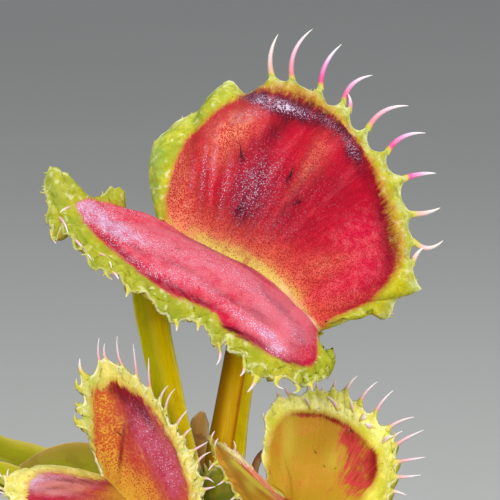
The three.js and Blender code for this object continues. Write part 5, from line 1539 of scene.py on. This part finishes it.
def plain_trap(name, finish, slot, neck, along, mouth, length, height, half_angle, bulge, cilia,
               reach, seed):
    """Two rounded lobes from a neck: margin 0.7 + height · sin(a)^0.75 from the midrib, half the mouth's
    angle either side of it, with spines at even steps and washes from noise."""
    steps = 96
    a = np.linspace(0, math.pi, steps + 1)
    u = a / math.pi
    v = outward(26)
    forward = unit(np.array(along, float))
    side = unit(np.cross(np.array(mouth, float), forward))
    up = np.cross(forward, side)
    lean = math.radians(half_angle)
    sine = np.maximum(0, np.sin(a))
    place = lambda x, y, z: np.array(neck) + x[:, None] * forward + y[:, None] * side + z[:, None] * up
    midrib = place(length * (0.5 - 0.5 * np.cos(a)), 0 * a, 0.06 * length * sine)
    rng = np.random.default_rng(seed)
    marks = []
    for s in (-1, 1):
        far = 0.7 + height * sine**0.75
        margin = place(length * (0.5 - 0.58 * np.cos(a)), s * far * math.sin(lean), far * math.cos(lean))
        facing = -s * math.cos(lean) * side + math.sin(lean) * up
        rows = lobe(midrib, margin, facing, bulge, 0, 1, u, v)
        rows, fold = crumpled(rows, facing, 0.2, 2.2, seed + s, 1.8)
        at = 0.12 + 0.76 * (np.arange(cilia) + 0.5 + 0.25 * s) / cilia
        index = np.round(at * steps).astype(int)
        foot = rows[index, -1]
        out = unit(foot - rows[index, -5])
        long = reach * (0.6 + 0.4 * np.sin(math.pi * at)) * rng.uniform(0.85, 1.1, cilia)
        tip = foot + out * long[:, None] + forward * (long * (at - 0.5))[:, None]
        rows = flared(rows, index, out * 0.35, 1.0, 0.4)
        made = measured(rows, (u * length)[:, None], float(s), fold)
        made["flush"] = made["rim"] - 1.3 + 0.3 * ripple(rows, 2.5, seed + 9)
        made["warm"] = rise(ripple(rows, 5, seed + 10), -0.6, 0.8)
        made["dark"] = 0.3 * rise(made["rim"], 3.2, 1.4)
        # Painted sheen and glints at random, and a glossier surface.
        made["wet"] = 0.3 * rise(ripple(rows, 4, seed + 12), 0.1, 0.9)
        made["pink"] = 0.5 * rise(ripple(rows, 4, seed + 11), 0.0, 0.9)
        marks.append(made)
        spines(f"{name}_spines_{'ab'[s > 0]}", foot + out * 0.2, tip, -0.12 * long[:, None] * facing * 0.5,
               facing, border_way(rows, index), 0.14, slot, [name], rng.uniform(0.1, 0.6, cilia), 0.3, 0.4)
    trap_piece(f"{name}_leaf", marks, v, facing, finish, slot, [name], 0.5, thick=0.5)


# ---------------------------------------------------------------- stalks and leaves

def strap(name, path, width, rib, material, slot, rings=90, around=36, edge=0.5, wave=0.0, seed=1):
    """A stalk or leaf: at each station an oval, as wide as the station says and thickest along its middle,
    edge / 2 + (rib / 2 − edge / 2) · (1 − a²)^1.3 either way, carried along the curve. Its edges curl by
    wave."""
    t = np.linspace(0, 1, rings)
    centre = curve([p[:3] for p in path], t)
    half = curve([(p[3], 0, 0) for p in path], t)[:, 0]
    ahead = unit(np.gradient(centre, axis=0))
    wide = np.array(width, float)
    side = unit(wide - ahead * (ahead @ wide)[:, None])
    face = np.cross(ahead, side)
    turn = full_turn(around)
    a = np.sign(np.cos(turn)) * np.abs(np.cos(turn)) ** 0.8
    slim = np.minimum(1, half / (rib * 0.5))[:, None]
    thick = edge / 2 + (rib / 2 - edge / 2) * np.maximum(0, 1 - a**2) ** 1.3
    b = np.sign(np.sin(turn)) * np.abs(np.sin(turn)) ** 0.6 * thick
    run = lengths(centre)
    curl = wave * (a**2)[None] * np.sin(run[:, None] * 1.1 + seed + np.sign(a) * 1.3)
    points = centre[:, None] + side[:, None] * (half[:, None] * a)[..., None]
    points = points + face[:, None] * (b * slim + curl)[..., None]
    ring = np.arange(around)
    faces = [grid_faces(rings, around, closed=True), [ring], [ring[::-1] + (rings - 1) * around]]
    flow = [np.broadcast_to(value, points.shape[:2]) for value in (a, run[:, None], np.sign(b) * 3)]
    marks = {"flow": np.stack(flow, -1).reshape(-1, 3)}
    return piece(name + "_body", points.reshape(-1, 3), faces, material, [name], marks=marks)


# ---------------------------------------------------------------- pot, soil and moss

POT = {
    "height": 70.0, "top": 38.4, "base": 28.0, "wall": 1.6, "floor": 2.2, "lip": 9.0, "step": 1.6,
    "drain": 3.5, "circle": 17.0, "drains": 5,
}


def pot_radius(z):
    return POT["base"] + (POT["top"] - POT["base"]) * z / POT["height"]


def turned(profile, sides):
    """A profile of [radius, height] carried round +Z; both ends lie on the axis."""
    turn = full_turn(sides)
    r, z = np.array(profile[1:-1], float).T[..., None]
    points = np.stack([r * np.cos(turn), r * np.sin(turn), np.broadcast_to(z, (len(r), sides))], -1)
    n = len(r) * sides
    points = np.vstack([points.reshape(-1, 3), [[0, 0, profile[0][1]], [0, 0, profile[-1][1]]]])
    return points, [grid_faces(len(r), sides, closed=True)[:, ::-1], *end_fans(len(r), sides, n, n + 1)]


def rounded(corners, radius, steps):
    """A profile whose corners are short arcs: quadratic curves from radius before to radius after."""
    c = np.array(corners, float)
    made = [c[:1]]
    for before, here, after in zip(c, c[1:], c[2:]):
        r = min(radius, 0.45 * np.linalg.norm(here - before), 0.45 * np.linalg.norm(after - here))
        start, end = here + unit(before - here) * r, here + unit(after - here) * r
        t = np.linspace(0, 1, steps)[:, None]
        made.append((1 - t) ** 2 * start + 2 * t * (1 - t) * here + t * t * end)
    return np.vstack([*made, c[-1:]]).tolist()


def pot_piece(material):
    """The tub: one rounded profile turned round its axis, then five drain holes drilled through its floor."""
    height, base, floor, drain, step = (POT[key] for key in ("height", "base", "floor", "drain", "step"))
    lip, inner, outer = height - POT["lip"], POT["top"] - POT["wall"], POT["top"] + step
    profile = [
        (0, 0), (base - 6, 0), (base, 0), (pot_radius(lip), lip), (pot_radius(lip) + step, lip + 0.5),
        (outer - 0.35, height - 0.6), (outer - 1.0, height), (inner + 0.5, height), (inner, height - 0.7),
        (pot_radius(floor) - POT["wall"], floor), (0, floor),
    ]
    points, faces = turned(rounded(profile, 0.5, 4), 144)
    made = piece("pot_tub", points, faces, material, ["pot"], lean=False)
    hole, quads = turned([(0, -2), (drain, -2), (drain, 5), (0, 5)], 32)
    spots, blocks = [], []
    for k, turn in enumerate(full_turn(POT["drains"])):
        spots.append(hole + [POT["circle"] * math.cos(turn), POT["circle"] * math.sin(turn), 0])
        blocks += [block + k * len(hole) for block in quads]
    cutter = bpy.data.objects.new("drills", bpy.data.meshes.new("drills"))
    cutter.data.from_pydata((np.vstack(spots) * 0.001).tolist(), [], [f for b in blocks for f in b.tolist()])
    bpy.context.scene.collection.objects.link(cutter)
    drill = made.modifiers.new("drains", "BOOLEAN")
    drill.operation, drill.solver, drill.object = "DIFFERENCE", "EXACT", cutter
    cut = bpy.data.meshes.new_from_object(made.evaluated_get(bpy.context.evaluated_depsgraph_get()))
    made.modifiers.clear()
    made.data = cut
    made.data.materials.clear()
    made.data.materials.append(material)
    bpy.data.objects.remove(cutter)
    made.data.polygons.foreach_set("use_smooth", np.full(len(made.data.polygons), True))
    made.data.set_sharp_from_angle(angle=math.radians(32))


SOIL_EDGE = POT["top"] - POT["wall"] - 0.45
SOIL_LUMPS = [(0.45, 7, 31), (0.3, 2.6, 32), (0.22, 1.2, 33)]  # height, size and seed of each kind


def soil_height(x, y):
    """The domed bed: 5 mm lower at the wall than at the crown, with lumps that fade at the wall and a dip
    round the crown."""
    far = np.hypot(x, y)
    spot = np.stack([x, y], -1)
    fade = rise(far, SOIL_EDGE, SOIL_EDGE - 3)
    lumps = sum(high * ripple(spot, size, seed) for high, size, seed in SOIL_LUMPS)
    dip = 0.5 * rise(far, 7, 3)
    return CROWN_HEIGHT - 1.1 - 5 * (far / SOIL_EDGE) ** 2 + lumps * fade * 0.8 - dip


def soil_piece(material):
    """The bed: rings of the domed top from the wall to the middle, over a flat base inside the tub."""
    rings, sides = 110, 260
    far = (SOIL_EDGE * np.linspace(1, 0.004, rings))[:, None]
    turn = full_turn(sides)
    x, y = far * np.cos(turn), far * np.sin(turn)
    top = np.stack([x, y, soil_height(x, y)], -1).reshape(-1, 3)
    low = POT["floor"] + 0.3
    foot = pot_radius(low) - POT["wall"] - 0.4
    base = np.stack([foot * np.cos(turn), foot * np.sin(turn), np.full(sides, low)], -1)
    points = np.vstack([base, top, [[0, 0, low], [0, 0, soil_height(np.zeros(1), np.zeros(1))[0]]]])
    n = len(points)
    faces = [grid_faces(rings + 1, sides, closed=True)[:, ::-1], *end_fans(rings + 1, sides, n - 2, n - 1)]
    piece("soil_bed", points, faces, material, ["soil"], lean=False)


def scattered(count, low, high, seed):
    """Seeded spots on the bed, evenly thick over its area, from low to high millimetres from the crown."""
    rng = np.random.default_rng(seed)
    far = np.sqrt(rng.uniform(low**2, high**2, count))
    turn = rng.uniform(0, 2 * math.pi, count)
    x, y = far * np.cos(turn), far * np.sin(turn)
    return np.stack([x, y, soil_height(x, y)], -1), rng


def grit_piece(name, count, sizes, material, seed):
    """Grains: lumpy balls of four rings and two poles, each squashed and turned its own way, half sunk in the
    bed."""
    rings, sides = 4, 7
    size = rings * sides + 2
    spots, rng = scattered(count, 5.0, SOIL_EDGE - 1.5, seed)
    lat = np.linspace(-0.5 * math.pi, 0.5 * math.pi, rings + 2)[1:-1, None]
    lon = full_turn(sides)
    up = np.broadcast_to(np.sin(lat), (rings, sides))
    ball = np.stack([np.cos(lat) * np.cos(lon), np.cos(lat) * np.sin(lon), up], -1).reshape(-1, 3)
    ball = np.vstack([ball, [[0, 0, -1], [0, 0, 1]]])
    grown = rng.uniform(*sizes, (count, 1, 1)) * rng.uniform(0.7, 1.3, (count, 1, 3))
    shaped = ball * (grown * rng.uniform(0.82, 1.12, (count, size, 1)))
    turn = rng.uniform(0, 2 * math.pi, count)[:, None]
    c, s = np.cos(turn), np.sin(turn)
    x, y = shaped[..., 0] * c - shaped[..., 1] * s, shaped[..., 0] * s + shaped[..., 1] * c
    points = np.stack([x, y, shaped[..., 2]], -1) + spots[:, None]
    one = [grid_faces(rings, sides, closed=True)[:, ::-1], *end_fans(rings, sides, size - 2, size - 1)]
    piece(name, points.reshape(-1, 3), repeated(one, count, size), material, lean=False)


def moss_piece(name, count, seed, long, material):
    """Moss: tufts of five leaflets, each a bent blade with three edges, wide at the foot and drawn to a
    point, long · 0.6 to 1 tall, only where a wide noise allows."""
    spots, rng = scattered(count, 4.5, SOIL_EDGE - 1.0, seed)
    kept = ripple(spots[:, :2], 13, seed + 1) > -0.15
    spots = spots[kept]
    count, leaflets, rings = len(spots), 5, 4
    turn = rng.uniform(0, 2 * math.pi, (count, 1)) + full_turn(leaflets)
    turn = turn + rng.uniform(-0.4, 0.4, turn.shape)
    size = rng.uniform(0.6, 1.0, turn.shape) * long
    t = np.linspace(0, 1, rings)
    way = np.stack([np.cos(turn), np.sin(turn), 0 * turn], -1)
    across = np.stack([-np.sin(turn), np.cos(turn), 0 * turn], -1)
    steep = rng.uniform(0.5, 1.1, turn.shape)
    run = way[:, :, None] * (size[..., None] * t * 0.75)[..., None]
    run = run + np.array([0, 0, 1.0]) * (size * steep)[..., None, None] * (t - 0.55 * t**2)[:, None]
    half = (0.1 * size[..., None] * (1 - t) ** 0.7 + 0.015)[..., None]
    left = spots[:, None, None] + run - across[:, :, None] * half
    right = spots[:, None, None] + run + across[:, :, None] * half
    middle = spots[:, None, None] + run - np.array([0, 0, 0.09]) * long
    points = np.stack([left, middle, right], 3).reshape(-1, 3)
    last = (rings - 1) * 3
    caps = [np.array([[0, 1, 2]]), np.array([[last, last + 2, last + 1]])]
    faces = repeated([grid_faces(rings, 3, closed=True), *caps], count * leaflets, rings * 3)
    tone = np.repeat(rng.uniform(0, 1, count), leaflets * rings * 3)
    piece(name, points, faces, material, lean=False, marks={"tone": tone})


# ---------------------------------------------------------------- the whole

FLOOR_REACH = 2.5  # metres from the pot


def floor_piece():
    s = FLOOR_REACH
    sheet = bpy.data.meshes.new("floor")
    sheet.from_pydata([(-s, -s, 0), (s, -s, 0), (s, s, 0), (-s, s, 0)], [], [(0, 1, 2, 3)])
    sheet.materials.append(floor_finish())
    floor = bpy.data.objects.new("floor", sheet)
    bpy.context.scene.collection.objects.link(floor)


def traps():
    """The three fitted traps, then the plain ones, each with seeds of its own."""
    large_trap()
    for name, shape in SIDE_TRAPS.items():
        side_trap(name, **shape)
    ochre = trap_finish("trap_ochre_plain", OCHRE_LOOK), "trap_ochre"
    red = trap_finish("trap_red_plain", LEFT_LOOK), "trap_red"
    for k, (leaf, shape) in enumerate(PLAIN_TRAPS.items()):
        plain_trap("trap_" + leaf, *(red if leaf == "rear" else ochre), **shape, seed=200 + 20 * k)


def stalks():
    """The stalks, whose edges curl except on the two tall ones, the young leaf and the dead stalk."""
    gold = stalk_finish("stalk_gold", GOLD_STOPS, (150, 104, 30), 0.3)
    rear = stalk_finish("stalk_striped", REAR_STOPS, (160, 90, 30), 0.25)
    green = stalk_finish("stalk_green", GREEN_STOPS, (176, 140, 60), 0.3)
    olive = stalk_finish("stalk_olive", OLIVE_STOPS, (120, 96, 30), 0.4)
    finishes = {"large": gold, "rear": rear, "left": gold, "right": rear, "winged": olive}
    for seed, (leaf, shape) in enumerate(PETIOLES.items()):
        strap("petiole_" + leaf, **shape, material=finishes.get(leaf, green), slot="petiole_green",
              wave=0.0 if leaf in ("large", "rear") else 0.12, seed=seed)
    young = leaf_finish("leaf_tan", TAN_STOPS, (136, 84, 58), 0.5)
    strap("young_leaf", **YOUNG_LEAF, material=young, slot="young_leaf", rings=40, around=26)
    dead = leaf_finish("stalk_dry", BROWN_STOPS, (60, 34, 20), 0.8)
    strap("dead_stalk", **DEAD_STALK, material=dead, slot="dead_stalk", rings=40, around=20, edge=0.3)


def pot_and_bed():
    """The tub, the bed with its grains and moss, and the finish of the buried rhizome."""
    pot_piece(pot_finish())
    soil_piece(soil_finish())
    perlite = grit_finish("perlite_white", (232, 230, 222), (206, 200, 184), 0.8)
    grit_piece("soil_perlite", 190, (0.35, 1.0), perlite, 51)
    crumbs = grit_finish("peat_crumb", (48, 32, 20), (92, 64, 40), 0.95)
    grit_piece("soil_crumbs", 1500, (0.2, 0.6), crumbs, 52)
    moss_piece("soil_moss", 5200, 53, 2.0, moss_finish())
    bulb = frame["nodes"]["rhizome"]
    bulb.data.materials.clear()
    bulb.data.materials.append(grit_finish("rhizome_pale", (206, 196, 160), (186, 170, 120), 0.6))


camera_and_lights()
floor_piece()
traps()
stalks()
pot_and_bed()
